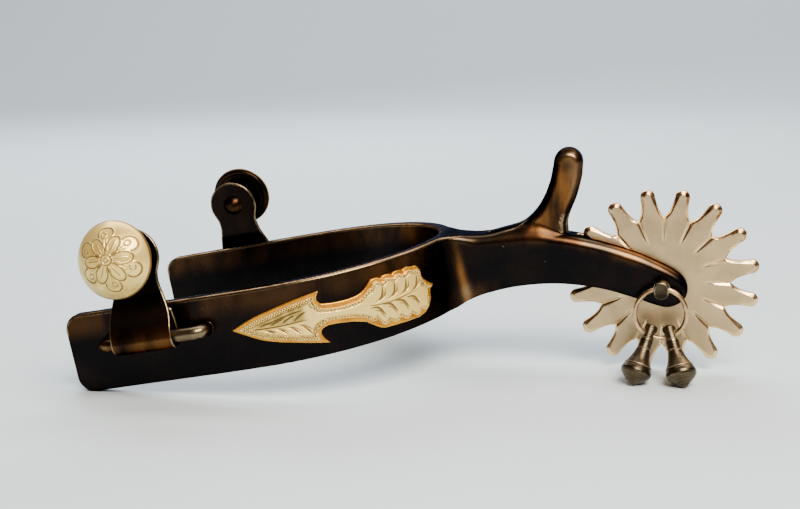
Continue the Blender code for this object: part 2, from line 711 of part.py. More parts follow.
def main():
    clear_scene()
    tilt, pin_height = rest_angle()
    spur = empty("spur", rotation=(0, -tilt, 0))
    make_heel_band(spur)
    make_shank(spur)
    axle = empty("rowel_axle", spur, (PIN_X, 0, PIN_Z))
    make_rowel(axle, tilt)
    make_rowel_pin(axle)
    upright = empty("pin_eye", axle, (EYE_X, EYE_Y, 0), (0, tilt, 0))
    ring_hinge = empty("ring_hinge", upright, rotation=(-RING_LEAN, 0, 0))
    make_jingle_ring(ring_hinge)
    make_bob("jingle_bob_left", ring_hinge, LEFT_SPREAD, LEFT_TILT, pin_height)
    make_bob("jingle_bob_right", ring_hinge, RIGHT_SPREAD, RIGHT_TILT, pin_height)
    make_arrow(spur)
    make_button_set("near", spur, -1)
    make_button_set("far", spur, 1)
    stand_on_origin(spur)


main()
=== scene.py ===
"""Looks of a western spur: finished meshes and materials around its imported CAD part.

Most pieces are skins of distance fields, so that forged edges, fillets and engraving are real shape.
Fields are in millimetres and in the spur's own frame: +X from the boot heel to the rowel, +Z up, -Y the
near (outer) side, and the origin at the heel of the band's top edge.
"""

import json
from math import asin, cos, pi, radians, sin, sqrt

import bpy
import numpy as np
from mathutils import Matrix, Vector


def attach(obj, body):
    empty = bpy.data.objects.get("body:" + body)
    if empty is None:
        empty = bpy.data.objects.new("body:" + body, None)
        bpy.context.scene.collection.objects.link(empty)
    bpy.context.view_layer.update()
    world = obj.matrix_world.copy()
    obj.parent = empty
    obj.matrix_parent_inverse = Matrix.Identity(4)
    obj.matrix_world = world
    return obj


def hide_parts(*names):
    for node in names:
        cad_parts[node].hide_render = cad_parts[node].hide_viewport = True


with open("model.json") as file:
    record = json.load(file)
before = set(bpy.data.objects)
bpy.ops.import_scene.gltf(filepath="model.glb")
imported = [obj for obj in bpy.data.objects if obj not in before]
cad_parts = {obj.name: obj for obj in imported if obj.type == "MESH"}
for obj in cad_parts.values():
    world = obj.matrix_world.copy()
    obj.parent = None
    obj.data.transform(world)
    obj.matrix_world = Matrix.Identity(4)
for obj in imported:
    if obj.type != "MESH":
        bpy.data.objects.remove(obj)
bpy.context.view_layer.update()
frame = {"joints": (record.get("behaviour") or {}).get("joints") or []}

MM = 0.001
JOINTS = {joint["name"]: joint for joint in frame["joints"]}

# heel band
BAND_THICK = 4.0
BAND_HALF_WIDTH = 45.0
BAND_BOW = 54.6
BAND_LENGTH = 113.4
BAND_HEEL_HEIGHT = 22.8
BAND_TOE_HEIGHT = 24.2
BAND_CORNER = 5.0
BAND_EDGE = 0.8
BOW_DEPTH_POWER = 2.2
BOW_WIDTH_POWER = 1.72
TOE_IN = 0.053
TOE_IN_RUN = 16.0

# shank, fork and chap guard
SHANK_HALF = 6.2
SHANK_TOP_EDGE = 3.0
SHANK_LOW_EDGE = 1.1
ROOT_FILLET = 6.0
GUARD_HALF = 4.3
GUARD_BEVEL = 1.8
GUARD_SOFTNESS = 0.45
GUARD_TIP = (39.8, 15.3)
GUARD_TIP_RADIUS = 4.4
GUARD_FILLET = 3.0
GUARD_SHARP_FILLET = 0.6
SLOT_HALF = 1.8

# rowel and its pin
PIN_X = 61.8
PIN_Z = -25.7
PIN_RADIUS = 1.75
ROWEL_RADIUS = 28.6
ROWEL_POINTS = 16
ROWEL_TIP_RADIUS = 2.2
ROWEL_NOTCH = 0.69
ROWEL_HALF = 1.4
EYE_PLACE = (-0.8, -9.8)        # the pin's eye, along X and Y from the pin
EYE_HALF = 2.2
EYE_DEPTH = 2.2
EYE_DROP = 0.9                  # how much lower than wide the eye is

# jingle ring and bobs
RING_RADIUS = 7.5
WIRE_RADIUS = 0.7
RING_HOLE = 1.1                 # in the pin's eye
BOB_HOLE = 1.35
BOB_TOP = 3.2                   # from a bob's hole to its top
BOB_REACH = 16.4                # from its hole to its point

# button hangers
ROD_RADIUS = 1.9
ROD_BEND = 2.6
ROD_FRONT = -13.8               # ends of the rod, along X from the hinge
ROD_BACK = 17.3
HANGER_LEAN = radians(9.0)
STRAP_THICK = 1.1
WRAP_RADIUS = 2.8
HANGER_HALF = 9.5
NECK_HALF = 7.0
EYE_PLATE_RADIUS = 8.5
EYE_PLATE_HEIGHT = 24.3
TAB_HEIGHT = 8.4

# buttons
STUD_RADIUS = 1.6
SHOULDER_RADIUS = 2.6
DISC_RADIUS = 10.9
DISC_BACK = 9.2
DISC_THICK = 1.6
DOME_RADIUS = 11.2
DOME_RISE = 6.7
DOME_THICK = 0.7
BUTTON_SHARE = {"near": 1.0, "far": 0.94}
FLOWER_PLACE = (0.9, 0.2)
GAP = 0.3

# arrow
BACKING_THICK = 0.7
OVERLAY_THICK = 0.6


# ---------------------------------------------------------------- frames

def axes_matrix(origin, x, y):
    """Places a frame with the given X and Y directions; its fields are in millimetres."""
    x = Vector(x).normalized()
    z = x.cross(Vector(y)).normalized()
    y = z.cross(x)
    turn = Matrix((x, y, z)).transposed().to_4x4()
    return Matrix.Translation(origin) @ turn @ Matrix.Scale(MM, 4)


def spur_matrix():
    """The spur's frame, found from the rowel's axle and the slope of the near button's hinge."""
    pin = Vector(JOINTS["rowel_spin"]["pos_m"])
    slope = Vector(JOINTS["near_button_swing"]["axis"])
    upright = axes_matrix((0, 0, 0), slope, (0, 1, 0))
    return Matrix.Translation(pin - upright @ Vector((PIN_X, 0, PIN_Z))) @ upright


SPUR = spur_matrix()
UNSPUR = SPUR.inverted()
AXLE = axes_matrix(JOINTS["rowel_spin"]["pos_m"], (1, 0, 0), (0, 1, 0))


def joint_place(name):
    """A joint's position in the spur's frame, in millimetres."""
    return UNSPUR @ Vector(JOINTS[name]["pos_m"])


# ---------------------------------------------------------------- fields

def smooth_step(value, low, high):
    t = np.clip((value - low) / (high - low), 0, 1)
    return t * t * (3 - 2 * t)


def mix(a, b, share):
    return a + (b - a) * share


def round_both(a, b, radius):
    """Intersection of two fields, with a rounded edge."""
    p, q = a + radius, b + radius
    return np.hypot(np.maximum(p, 0), np.maximum(q, 0)) + np.minimum(np.maximum(p, q), 0) - radius


def bevel_both(a, b, bevel, radius):
    """Intersection of two fields, with a flat bevel whose own edges are slightly rounded."""
    return round_both(round_both(a, b, radius), (a + b + bevel) * sqrt(0.5), radius)


def round_either(a, b, radius):
    """Union of two fields, with a fillet between them."""
    hollow = np.hypot(np.maximum(radius - a, 0), np.maximum(radius - b, 0))
    return np.maximum(radius, np.minimum(a, b)) - hollow


def smooth_run(points, steps):
    """A Catmull-Rom curve through the points, with its ends kept."""
    points = [np.array(p, float) for p in points]
    padded = [2 * points[0] - points[1]] + points + [2 * points[-1] - points[-2]]
    run = []
    for a, b, c, d in zip(padded, padded[1:], padded[2:], padded[3:]):
        for i in range(steps):
            t = i / steps
            square = (2 * a - 5 * b + 4 * c - d) * t ** 2
            cube = (3 * b - a - 3 * c + d) * t ** 3
            run.append(b + ((c - a) * t + square + cube) / 2)
    run.append(points[-1])
    return [tuple(p) for p in run]


def arc(centre, radius, start, end, count):
    """Points on an arc; the angles are in degrees."""
    angles = np.radians(np.linspace(start, end, count + 1))
    return [(centre[0] + radius * cos(a), centre[1] + radius * sin(a)) for a in angles]


class Curve:
    """A plane curve that gives, for any point, the offset from it and the length along it."""

    def __init__(self, points, closed=False):
        if closed:
            points = list(points) + [points[0]]
        self.points = np.array(points, float)
        self.steps = np.diff(self.points, axis=0)
        self.squares = np.maximum((self.steps ** 2).sum(1), 1e-12)
        lengths = np.sqrt(self.squares)
        self.lengths = np.concatenate(([0.0], np.cumsum(lengths)))
        sides = np.stack((-self.steps[:, 1], self.steps[:, 0]), 1) / lengths[:, None]
        before = np.vstack((sides[-1:] if closed else sides[:1], sides))
        after = np.vstack((sides, sides[:1] if closed else sides[-1:]))
        normals = before + after
        self.normals = normals / np.linalg.norm(normals, axis=1)[:, None]

    def nearest(self, a, b):
        """Nearest stretch, share along it and distance squared, for broadcast coordinates."""
        a, b = np.broadcast_arrays(a, b)
        flat = np.stack((a.ravel(), b.ravel()), 1)
        index = np.empty(len(flat), int)
        share = np.empty(len(flat))
        square = np.empty(len(flat))
        chunk = 20000
        for start in range(0, len(flat), chunk):
            here = flat[start:start + chunk]
            gap_a = here[:, :1] - self.points[None, :-1, 0]
            gap_b = here[:, 1:] - self.points[None, :-1, 1]
            t = np.clip((gap_a * self.steps[:, 0] + gap_b * self.steps[:, 1]) / self.squares, 0, 1)
            gaps = (gap_a - t * self.steps[:, 0]) ** 2 + (gap_b - t * self.steps[:, 1]) ** 2
            best = gaps.argmin(1)
            rows = np.arange(len(here))
            index[start:start + chunk] = best
            share[start:start + chunk] = t[rows, best]
            square[start:start + chunk] = gaps[rows, best]
        return flat, index, share, square, a.shape

    def offset(self, a, b):
        """Smooth signed offset, positive to the curve's left, and the length along the curve."""
        flat, index, share, _, shape = self.nearest(a, b)
        foot = self.points[index] + share[:, None] * self.steps[index]
        normal = mix(self.normals[index], self.normals[index + 1], share[:, None])
        normal /= np.linalg.norm(normal, axis=1)[:, None]
        along = self.lengths[index] + share * np.sqrt(self.squares[index])
        return ((flat - foot) * normal).sum(1).reshape(shape), along.reshape(shape)

    def distance(self, a, b):
        _, index, share, square, shape = self.nearest(a, b)
        along = self.lengths[index] + share * np.sqrt(self.squares[index])
        return np.sqrt(square).reshape(shape), along.reshape(shape)

    def inside(self, a, b):
        """True inside a closed curve."""
        a, b = np.broadcast_arrays(a, b)
        found = np.zeros(a.shape, bool)
        for (p, q), (r, s) in zip(self.points, self.points[1:]):
            if q != s:
                crosses = ((q > b) != (s > b)) & (a < (r - p) * (b - q) / (s - q) + p)
                found ^= crosses
        return found

    def signed(self, a, b):
        """Signed distance to a closed curve, negative inside, and the length along it."""
        distance, along = self.distance(a, b)
        return np.where(self.inside(a, b), -distance, distance), along


def frame_along(run, points, normals, at):
    """Foot, normal and tangent of a plane curve at lengths along it."""
    foot = [np.interp(at, run, points[:, i]) for i in (0, 1)]
    normal = np.stack([np.interp(at, run, normals[:, i]) for i in (0, 1)], 1)
    normal /= np.linalg.norm(normal, axis=1)[:, None]
    return foot, normal, np.stack((normal[:, 1], -normal[:, 0]), 1)


# ---------------------------------------------------------------- skins

def net_corners(shape, axis):
    """Steps, in flat cell numbers, to the four cells round an edge along the axis, anticlockwise."""
    second, third = (axis + 1) % 3, (axis + 2) % 3
    strides = (shape[1] * shape[2], shape[2], 1)
    return [-strides[second] - strides[third], -strides[third], 0, -strides[second]]


def surface_net(value):
    """Quads round the zero level of a sampled field, with corners in grid units."""
    shape = tuple(n - 1 for n in value.shape)
    total = shape[0] * shape[1] * shape[2]
    inside = value < 0
    sums = np.zeros((3, total))
    counts = np.zeros(total)
    quads = []
    for axis in range(3):
        low = [slice(0, -1)] * 3
        high = [slice(0, -1)] * 3
        high[axis] = slice(1, None)
        starts, ends = inside[tuple(low)], inside[tuple(high)]
        edges = np.argwhere(starts != ends)
        edges = edges[(edges[:, (axis + 1) % 3] > 0) & (edges[:, (axis + 2) % 3] > 0)]
        i, j, k = edges.T
        step = np.eye(3, dtype=int)[axis]
        first = value[i, j, k].astype(float)
        second = value[i + step[0], j + step[1], k + step[2]].astype(float)
        places = edges.astype(float)
        places[:, axis] += first / (first - second)
        cell = (i * shape[1] + j) * shape[2] + k
        corners = np.stack([cell + step for step in net_corners(shape, axis)], 1)
        for corner in corners.T:
            counts += np.bincount(corner, minlength=total)
            for d in range(3):
                sums[d] += np.bincount(corner, weights=places[:, d], minlength=total)
        leaving = inside[i, j, k]
        quads.append(corners[leaving])
        quads.append(corners[~leaving][:, ::-1])
    used = np.flatnonzero(counts)
    number = np.full(total, -1)
    number[used] = np.arange(len(used))
    return (sums[:, used] / counts[used]).T, number[np.concatenate(quads)]


def field_slope(field, points, reach):
    """Gradient and bend (sum of curvatures) of a field at each point."""
    middle = field(*points.T)
    slope = np.empty(points.shape)
    bend = -6 * middle
    for axis in range(3):
        step = np.zeros(3)
        step[axis] = reach
        ahead = field(*(points + step).T)
        behind = field(*(points - step).T)
        slope[:, axis] = (ahead - behind) / (2 * reach)
        bend += ahead + behind
    return slope, bend / reach ** 2, middle


def skin(field, low, high, step):
    """Points, quads, normals and bend of a field's zero level inside a box."""
    step = np.broadcast_to(np.array(step, float), 3)
    lines = [np.arange(a - 2 * s, b + 2.5 * s, s) for a, b, s in zip(low, high, step)]
    x, y, z = lines[0][:, None, None], lines[1][None, :, None], lines[2][None, None, :]
    value = np.broadcast_to(field(x, y, z), tuple(len(line) for line in lines)).astype(np.float32)
    places, quads = surface_net(value)
    points = places * step + [line[0] for line in lines]
    reach = 0.4 * step.min()
    for _ in range(2):
        slope, _, middle = field_slope(field, points, reach)
        square = np.maximum((slope ** 2).sum(1), 0.2)
        move = -(middle / square)[:, None] * slope
        points += np.clip(move, -step, step)
    slope, bend, _ = field_slope(field, points, reach)
    normals = slope / np.maximum(np.linalg.norm(slope, axis=1), 1e-9)[:, None]
    return points, quads, normals, bend


def mesh_of(name, points, quads):
    """A mesh from arrays; a quad that names a corner twice becomes a triangle."""
    mesh = bpy.data.meshes.new(name)
    faces = [tuple(dict.fromkeys(quad)) for quad in np.asarray(quads).tolist()]
    mesh.from_pydata(points.tolist(), [], faces)
    return mesh


def piece(name, points, quads, body, slot, nodes, matrix=None, normals=None, marks=None):
    """Makes a shown mesh from numpy arrays, rides it on its body and hides the CAD nodes it stands for.
    The marks are named numbers on each vertex that its material reads."""
    if matrix is not None:
        turn = np.array(matrix.to_3x3())
        points = points @ turn.T + np.array(matrix.translation)
        if normals is not None:
            normals = normals @ turn.T
            normals = normals / np.linalg.norm(normals, axis=1)[:, None]
    mesh = mesh_of(name, points, quads)
    mesh.validate()
    mesh.shade_smooth()
    for key, values in (marks or {}).items():
        mark = mesh.attributes.new(key, "FLOAT", "POINT")
        mark.data.foreach_set("value", np.asarray(values, np.float32))
    if normals is not None:
        mesh.normals_split_custom_set_from_vertices(normals.tolist())
    made = bpy.data.objects.new(name, mesh)
    bpy.context.scene.collection.objects.link(made)
    mesh.materials.append(MATERIALS[slot])
    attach(made, body)
    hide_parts(*nodes)
    return made


def skinned_piece(name, field, low, high, step, body, slot, nodes, matrix, marks=None, wear_and_highlight=None):
    """A piece whose surface is a field's zero level; marks are functions of the field's own coordinates,
    and the optional edge function says how much each place's edges are lightened, as worn metal and as a
    painted highlight."""
    points, quads, normals, bend = skin(field, low, high, step)
    values = {"bend": bend * wear_and_highlight(*points.T) if wear_and_highlight else bend}
    for key, mark in (marks or {}).items():
        values[key] = mark(*points.T)
    return piece(name, points, quads, body, slot, nodes, matrix, normals, values)


# ---------------------------------------------------------------- material nodes

class Nodes:
    """Short names for the nodes that the materials use."""

    def __init__(self, name):
        self.material = bpy.data.materials.new("finished_" + name)
        self.material.use_nodes = True
        self.tree = self.material.node_tree
        self.shader = self.tree.nodes["Principled BSDF"]
        self.shader.inputs["Metallic"].default_value = 1.0
        self.place = self.add("ShaderNodeTexCoord").outputs["Object"]

    def add(self, kind, **settings):
        node = self.tree.nodes.new(kind)
        for key, value in settings.items():
            setattr(node, key, value)
        return node

    def feed(self, socket, value):
        if isinstance(value, bpy.types.NodeSocket):
            self.tree.links.new(value, socket)
        else:
            socket.default_value = value

    def noise(self, scale, detail=4.0, stretch=None, place=None):
        node = self.add("ShaderNodeTexNoise")
        node.inputs["Scale"].default_value = scale
        node.inputs["Detail"].default_value = detail
        self.feed(node.inputs["Vector"], self.stretched(place or self.place, stretch))
        return node.outputs["Fac"]

    def stretched(self, place, stretch):
        if stretch is None:
            return place
        node = self.add("ShaderNodeMapping")
        node.inputs["Scale"].default_value = stretch
        self.feed(node.inputs["Vector"], place)
        return node.outputs["Vector"]

    def cells(self, scale):
        node = self.add("ShaderNodeTexVoronoi")
        node.inputs["Scale"].default_value = scale
        self.feed(node.inputs["Vector"], self.place)
        return node.outputs["Distance"]

    def mark(self, name):
        return self.add("ShaderNodeAttribute", attribute_name=name).outputs["Fac"]

    def ramp(self, value, low, high):
        """0 below low and 1 above high, eased between."""
        node = self.add("ShaderNodeMapRange", interpolation_type="SMOOTHSTEP")
        self.feed(node.inputs["Value"], value)
        node.inputs["From Min"].default_value = low
        node.inputs["From Max"].default_value = high
        return node.outputs["Result"]

    def maths(self, operation, a, b=0.0):
        node = self.add("ShaderNodeMath", operation=operation)
        self.feed(node.inputs[0], a)
        self.feed(node.inputs[1], b)
        return node.outputs[0]

    def times(self, a, b):
        return self.maths("MULTIPLY", a, b)

    def plus(self, a, b):
        return self.maths("ADD", a, b)

    def blend(self, share, a, b):
        """Colour a where share is 0 and b where it is 1."""
        node = self.add("ShaderNodeMix", data_type="RGBA")
        self.feed(node.inputs[0], share)
        for socket, colour in ((node.inputs[6], a), (node.inputs[7], b)):
            self.feed(socket, colour if isinstance(colour, bpy.types.NodeSocket) else (*colour, 1.0))
        return node.outputs[2]

    def finish(self, colour, roughness, height, depth):
        """Wires the shader; the height makes bumps of the given depth in metres."""
        self.feed(self.shader.inputs["Base Color"], colour)
        self.feed(self.shader.inputs["Roughness"], roughness)
        bump = self.add("ShaderNodeBump")
        bump.inputs["Strength"].default_value = 1.0
        bump.inputs["Distance"].default_value = depth
        self.feed(bump.inputs["Height"], height)
        self.feed(self.shader.inputs["Normal"], bump.outputs["Normal"])
        return self.material


def blued_steel():
    """Blued steel, nearly black, brown in places and lightened along its edges, with a little dust. The brown
    is partly browned steel and partly a painted warm sheen; the edges are worn bright, and on the forging
    also carry a painted highlight.
    The mark "brown" is how brown it is, and the satin mark how much it is rubbed to a grey satiny finish and
    lightened as a painted sheen."""
    n = Nodes("blued_steel")
    n.shader.inputs["Specular Tint"].default_value = (0.15, 0.17, 0.25, 1.0)
    cloud = n.noise(60, 5)
    fine = n.noise(900, 4)
    streaks = n.noise(130, 4, (1.0, 1.0, 0.35))
    brown = n.times(n.mark("brown"), n.ramp(streaks, 0.28, 0.66))
    colour = n.blend(n.ramp(cloud, 0.40, 0.75), (0.0058, 0.0050, 0.0055), (0.012, 0.008, 0.0065))
    colour = n.blend(brown, colour, (0.20, 0.080, 0.022))
    # painted sheen: where the satin mark is raised the steel is lightened to a warm grey
    colour = n.blend(n.times(n.mark("satin_and_sheen"), 0.8), colour, (0.34, 0.26, 0.16))
    # edges lightened by the bend mark: worn, and on the forging also a painted highlight
    edge = n.ramp(n.plus(n.mark("bend"), n.times(n.noise(350, 4), 0.5)), 0.60, 1.6)
    colour = n.blend(n.times(edge, 0.45), colour, (0.50, 0.35, 0.19))
    dust = n.times(n.ramp(n.cells(420), 0.09, 0.04), n.ramp(n.noise(150, 1), 0.66, 0.7))
    colour = n.blend(n.times(dust, 0.35), colour, (0.42, 0.36, 0.24))
    scratches = n.noise(700, 3, (0.12, 1.0, 1.0))
    roughness = n.plus(n.plus(0.17, n.times(cloud, 0.14)), n.plus(n.times(fine, 0.06), n.times(dust, 0.5)))
    roughness = n.plus(roughness, n.times(n.mark("satin_and_sheen"), 0.08))
    return n.finish(colour, roughness, n.plus(n.times(fine, 0.5), n.times(scratches, 0.5)), 0.000012)


def bronze_steel():
    """Browned turned steel with fine tool rings; the mark "along" is the distance along its axis,
    and the blackening mark is painted shade, how black it is made."""
    n = Nodes("bronze_steel")
    rings = n.maths("SINE", n.times(n.mark("along"), 2 * pi / 0.72))
    uneven = n.noise(1500, 2)
    cloud = n.noise(250, 4)
    colour = n.blend(n.ramp(cloud, 0.35, 0.7), (0.125, 0.095, 0.055), (0.055, 0.038, 0.024))
    faint = n.times(n.ramp(rings, 0.2, 1.0), n.ramp(n.noise(180, 2), 0.35, 0.65))
    colour = n.blend(n.times(faint, 0.30), colour, (0.24, 0.18, 0.105))
    colour = n.blend(n.times(n.ramp(n.mark("bend"), 0.9, 2.5), 0.7), colour, (0.60, 0.46, 0.28))
    # painted shade: nearly black where the blackening mark is raised
    colour = n.blend(n.times(n.mark("painted_shade"), 0.9), colour, (0.010, 0.007, 0.005))
    roughness = n.plus(0.24, n.times(cloud, 0.14))
    return n.finish(colour, roughness, n.plus(n.times(rings, 0.5), n.times(uneven, 0.8)), 0.00003)


def polished_steel():
    """Warm steel, frosted on its faces and polished where the mark "polish" says; the tarnish mark is brown:
    on the ring's wire, and as a painted warm reflection on the bevels of the rowel's points.
    """
    n = Nodes("polished_steel")
    grain = n.noise(2600, 2)
    cloud = n.noise(120, 5)
    colour = n.blend(n.ramp(cloud, 0.3, 0.75), (0.64, 0.45, 0.25), (0.47, 0.33, 0.175))
    colour = n.blend(n.times(n.mark("polish"), 0.6), colour, (0.95, 0.67, 0.35))
    brown = n.times(n.mark("tarnish_and_reflection"), n.ramp(n.noise(420, 4), 0.30, 0.62))
    colour = n.blend(brown, colour, (0.17, 0.050, 0.014))
    roughness = n.plus(n.times(n.mark("polish"), -0.18), n.plus(0.34, n.times(grain, 0.14)))
    return n.finish(colour, roughness, n.plus(n.times(grain, 0.6), n.times(cloud, 0.4)), 0.00002)


def silver():
    """Engraved silver; the mark "cut" is the depth of the graver's cuts, which are darker and warmer, and on
    the domes also a painted shade round the rim;
    the patina mark is how tarnished it is, and on the domes also a painted shade on their lower left, away
    from the light."""
    n = Nodes("silver")
    n.shader.inputs["Metallic"].default_value = 0.6
    grain = n.noise(1800, 3)
    cloud = n.noise(160, 4)
    colour = n.blend(n.ramp(cloud, 0.35, 0.7), (1.0, 0.72, 0.22), (0.94, 0.62, 0.15))
    patina_and_shade = n.times(n.mark("patina_and_shade"), n.ramp(n.noise(300, 3), 0.25, 0.6))
    colour = n.blend(patina_and_shade, colour, (0.40, 0.28, 0.07))
    colour = n.blend(n.times(n.ramp(n.mark("cut"), 0.08, 0.7), 0.92), colour, (0.16, 0.075, 0.015))
    roughness = n.plus(0.27, n.times(grain, 0.12))
    return n.finish(colour, roughness, n.plus(n.times(grain, 0.5), n.times(cloud, 0.5)), 0.00002)


def gold_brass():
    """Polished golden metal, orange where it is rubbed and brown where it is not."""
    n = Nodes("gold_brass")
    n.shader.inputs["Metallic"].default_value = 0.8
    cloud = n.noise(240, 5)
    grain = n.noise(1500, 3)
    colour = n.blend(n.ramp(cloud, 0.35, 0.7), (0.76, 0.32, 0.014), (0.50, 0.18, 0.01))
    colour = n.blend(n.times(n.ramp(n.mark("bend"), 0.6, 2.2), 0.4), colour, (0.96, 0.50, 0.06))
    roughness = n.plus(0.2, n.times(grain, 0.16))
    return n.finish(colour, roughness, n.plus(n.times(grain, 0.5), n.times(cloud, 0.5)), 0.00002)


MAKERS = (blued_steel, bronze_steel, polished_steel, silver, gold_brass)
MATERIALS = {maker.__name__: maker() for maker in MAKERS}


# ---------------------------------------------------------------- heel band, shank and guard

def band_outer():
    """The band's outer edge seen from above, from the far arm's end round the heel to the near arm's."""
    side = []
    for i in range(110):
        turn = (pi / 2) * i / 110
        forward = BAND_BOW * (1 - cos(turn) ** (2 / BOW_DEPTH_POWER))
        side.append((-forward, BAND_HALF_WIDTH * sin(turn) ** (2 / BOW_WIDTH_POWER)))
    for forward in np.linspace(BAND_BOW, BAND_LENGTH + 15, 40):
        side.append((-forward, arm_half_width(forward)))
    return Curve(side[::-1] + [(x, -y) for x, y in side[1:]])


def arm_half_width(forward):
    beyond = forward - BAND_BOW
    if beyond < TOE_IN_RUN:
        return BAND_HALF_WIDTH - TOE_IN * beyond ** 2 / (2 * TOE_IN_RUN)
    return BAND_HALF_WIDTH - TOE_IN * (beyond - TOE_IN_RUN / 2)


def shank_side():
    top = [(-16, -0.3), (-8, -0.4), (-4, -0.5), (3, -1.0), (9, -1.9), (16, -2.3), (24, -3.2), (34, -5.6),
           (45, -9.7), (55, -14.7)]
    fork_end = [(60.4, -18.1), (64.4, -21.0), (67.4, -23.8), (68.7, -27.0), (67.9, -30.1), (65.4, -32.1),
                (61.8, -32.7)]
    bottom = [(58.0, -31.2), (53.4, -28.7), (43, -23.9), (31, -20.6), (19, -19.5), (9, -20.2), (3, -21.4),
              (-4, -22.8), (-8, -23.0), (-16, -23.2)]
    return Curve(smooth_run(top + fork_end + bottom, 6), closed=True)


def guard_side():
    heel_side = [(13, -3.5), (17, -2.1), (21.3, -1.1), (24.7, 0.4), (28.3, 3.2), (31.3, 7.0), (33.6, 11.0)]
    rowel_side = [(43.2, 10.6), (41.8, 7.2), (40.2, 4.0), (38.2, 0.8), (36.6, -2.6), (36.2, -6.0)]
    tip = arc(GUARD_TIP, GUARD_TIP_RADIUS, 172, -14, 24)
    buried = [(33, -10), (22, -10), (12, -10)]
    return Curve(smooth_run(heel_side, 6) + tip + smooth_run(rowel_side, 6) + buried, closed=True)


BAND_CURVE = band_outer()
SHANK_CURVE = shank_side()
GUARD_CURVE = guard_side()


def band_plan_and_side(x, y, z):
    """Offsets of a point from the band's outer face and from its edges seen from the side."""
    out, _ = BAND_CURVE.offset(x, y)
    height = mix(BAND_HEEL_HEIGHT, BAND_TOE_HEIGHT, -x / BAND_LENGTH)
    across = np.abs(z + height / 2) - (height / 2 - BAND_CORNER)
    beyond = -x - (BAND_LENGTH - BAND_CORNER)
    corner = np.hypot(np.maximum(across, 0), np.maximum(beyond, 0))
    return out, corner + np.minimum(np.maximum(across, beyond), 0) - BAND_CORNER


def forging_field(x, y, z):
    """Band, shank and guard in one forging, with a slot for the rowel."""
    out, band_side = band_plan_and_side(x, y, z)
    plan = np.maximum(round_either(out, np.abs(y) - SHANK_HALF, ROOT_FILLET), -BAND_THICK - out)
    shank_edge, _ = SHANK_CURVE.offset(x, z)
    on_shank = smooth_step(x, -3.0, 3.0)
    side = mix(band_side, shank_edge, on_shank)
    shank_round = mix(SHANK_LOW_EDGE, SHANK_TOP_EDGE, smooth_step(z - middle_line(x), -5.0, 5.0))
    body = round_both(plan, side, mix(BAND_EDGE, shank_round, smooth_step(x, 0.0, 9.0)))
    radius = np.hypot(x - PIN_X, z - PIN_Z)
    slot = np.maximum(radius - ROWEL_RADIUS - 0.9, np.abs(y) - SLOT_HALF)
    body = round_both(body, -slot, 0.35)
    guard_edge, _ = GUARD_CURVE.offset(x, z)
    guard = bevel_both(np.abs(y) - GUARD_HALF, guard_edge, GUARD_BEVEL, GUARD_SOFTNESS)
    fillet = mix(GUARD_FILLET, GUARD_SHARP_FILLET, smooth_step(x, 27.0, 35.0))
    return round_either(body, guard, fillet)


def bump_at(value, middle, reach):
    """A soft bump, 1 at the middle."""
    return np.exp(-((value - middle) / reach) ** 2)


def middle_line(x):
    """Height of the forging's middle line."""
    beyond = np.maximum(x - 20, 0)
    return -11.5 - 0.13 * beyond - 0.004 * beyond ** 2


def brown_and_sheen(x, y, z):
    """How brown the forging is: most at the guard, the root of the shank and along the top of the arms. On
    the guard's side facet the brown is a painted warm reflection, with a painted blackish reflection under
    the tip; at the root it is browned steel and a painted highlight; along the shank's top bevel, the top of
    the fork's ears and the top of the arms it is a painted sheen.
    """
    facet = smooth_step(np.abs(y), 3.9, 4.25)
    guard = smooth_step(z, -9.0, 2.0) * smooth_step(x, 16.0, 27.0) * smooth_step(-x, -50.0, -38.0)
    guard = guard * (1 - 0.7 * smooth_step(np.abs(y), 4.5, 5.6))
    # painted reflection: a black spot on the guard's facet under its tip, where the brown is taken away
    guard = guard * facet * (1 - 0.9 * bump_at(np.hypot(x - 39.6, z - 14.6), 0.0, 2.0))
    # the streak at the shank's root: partly browned steel and partly a painted highlight
    root = bump_at(x, 1.2 - 0.07 * z, 1.1) * (0.45 + 0.55 * smooth_step(-z, 1.0, 12.0))
    root = root * smooth_step(-y, -1.0, 1.0)
    bow = bump_at(x, -12.0, 8.0) * smooth_step(z, -9.0, -1.0) * 0.5
    # painted highlight: a warm strip where the shank's top bevel catches the light
    flow = 0.35 * bump_at(SHANK_CURVE.offset(x, z)[0], -1.6, 1.2) * smooth_step(x, 3.0, 10.0)
    flow = flow * smooth_step(z - middle_line(x), 2.0, 5.0) * smooth_step(np.abs(y), 3.0, 4.6)
    # painted sheen on the upper part of the arms and on the top of the fork's ears
    arm = 0.2 * smooth_step(z, -9.0, -3.0) * smooth_step(-x, 8.0, 20.0)
    ear = 0.3 * smooth_step(x, 36.0, 44.0) * smooth_step(z + 0.42 * (x - 36), -12.0, -7.0)
    low = 0.22 * bump_at(x, 6.0, 7.0) * smooth_step(-z, 14.0, 20.0)
    return np.clip(guard + root + bow + arm + ear + low + flow, 0, 1)


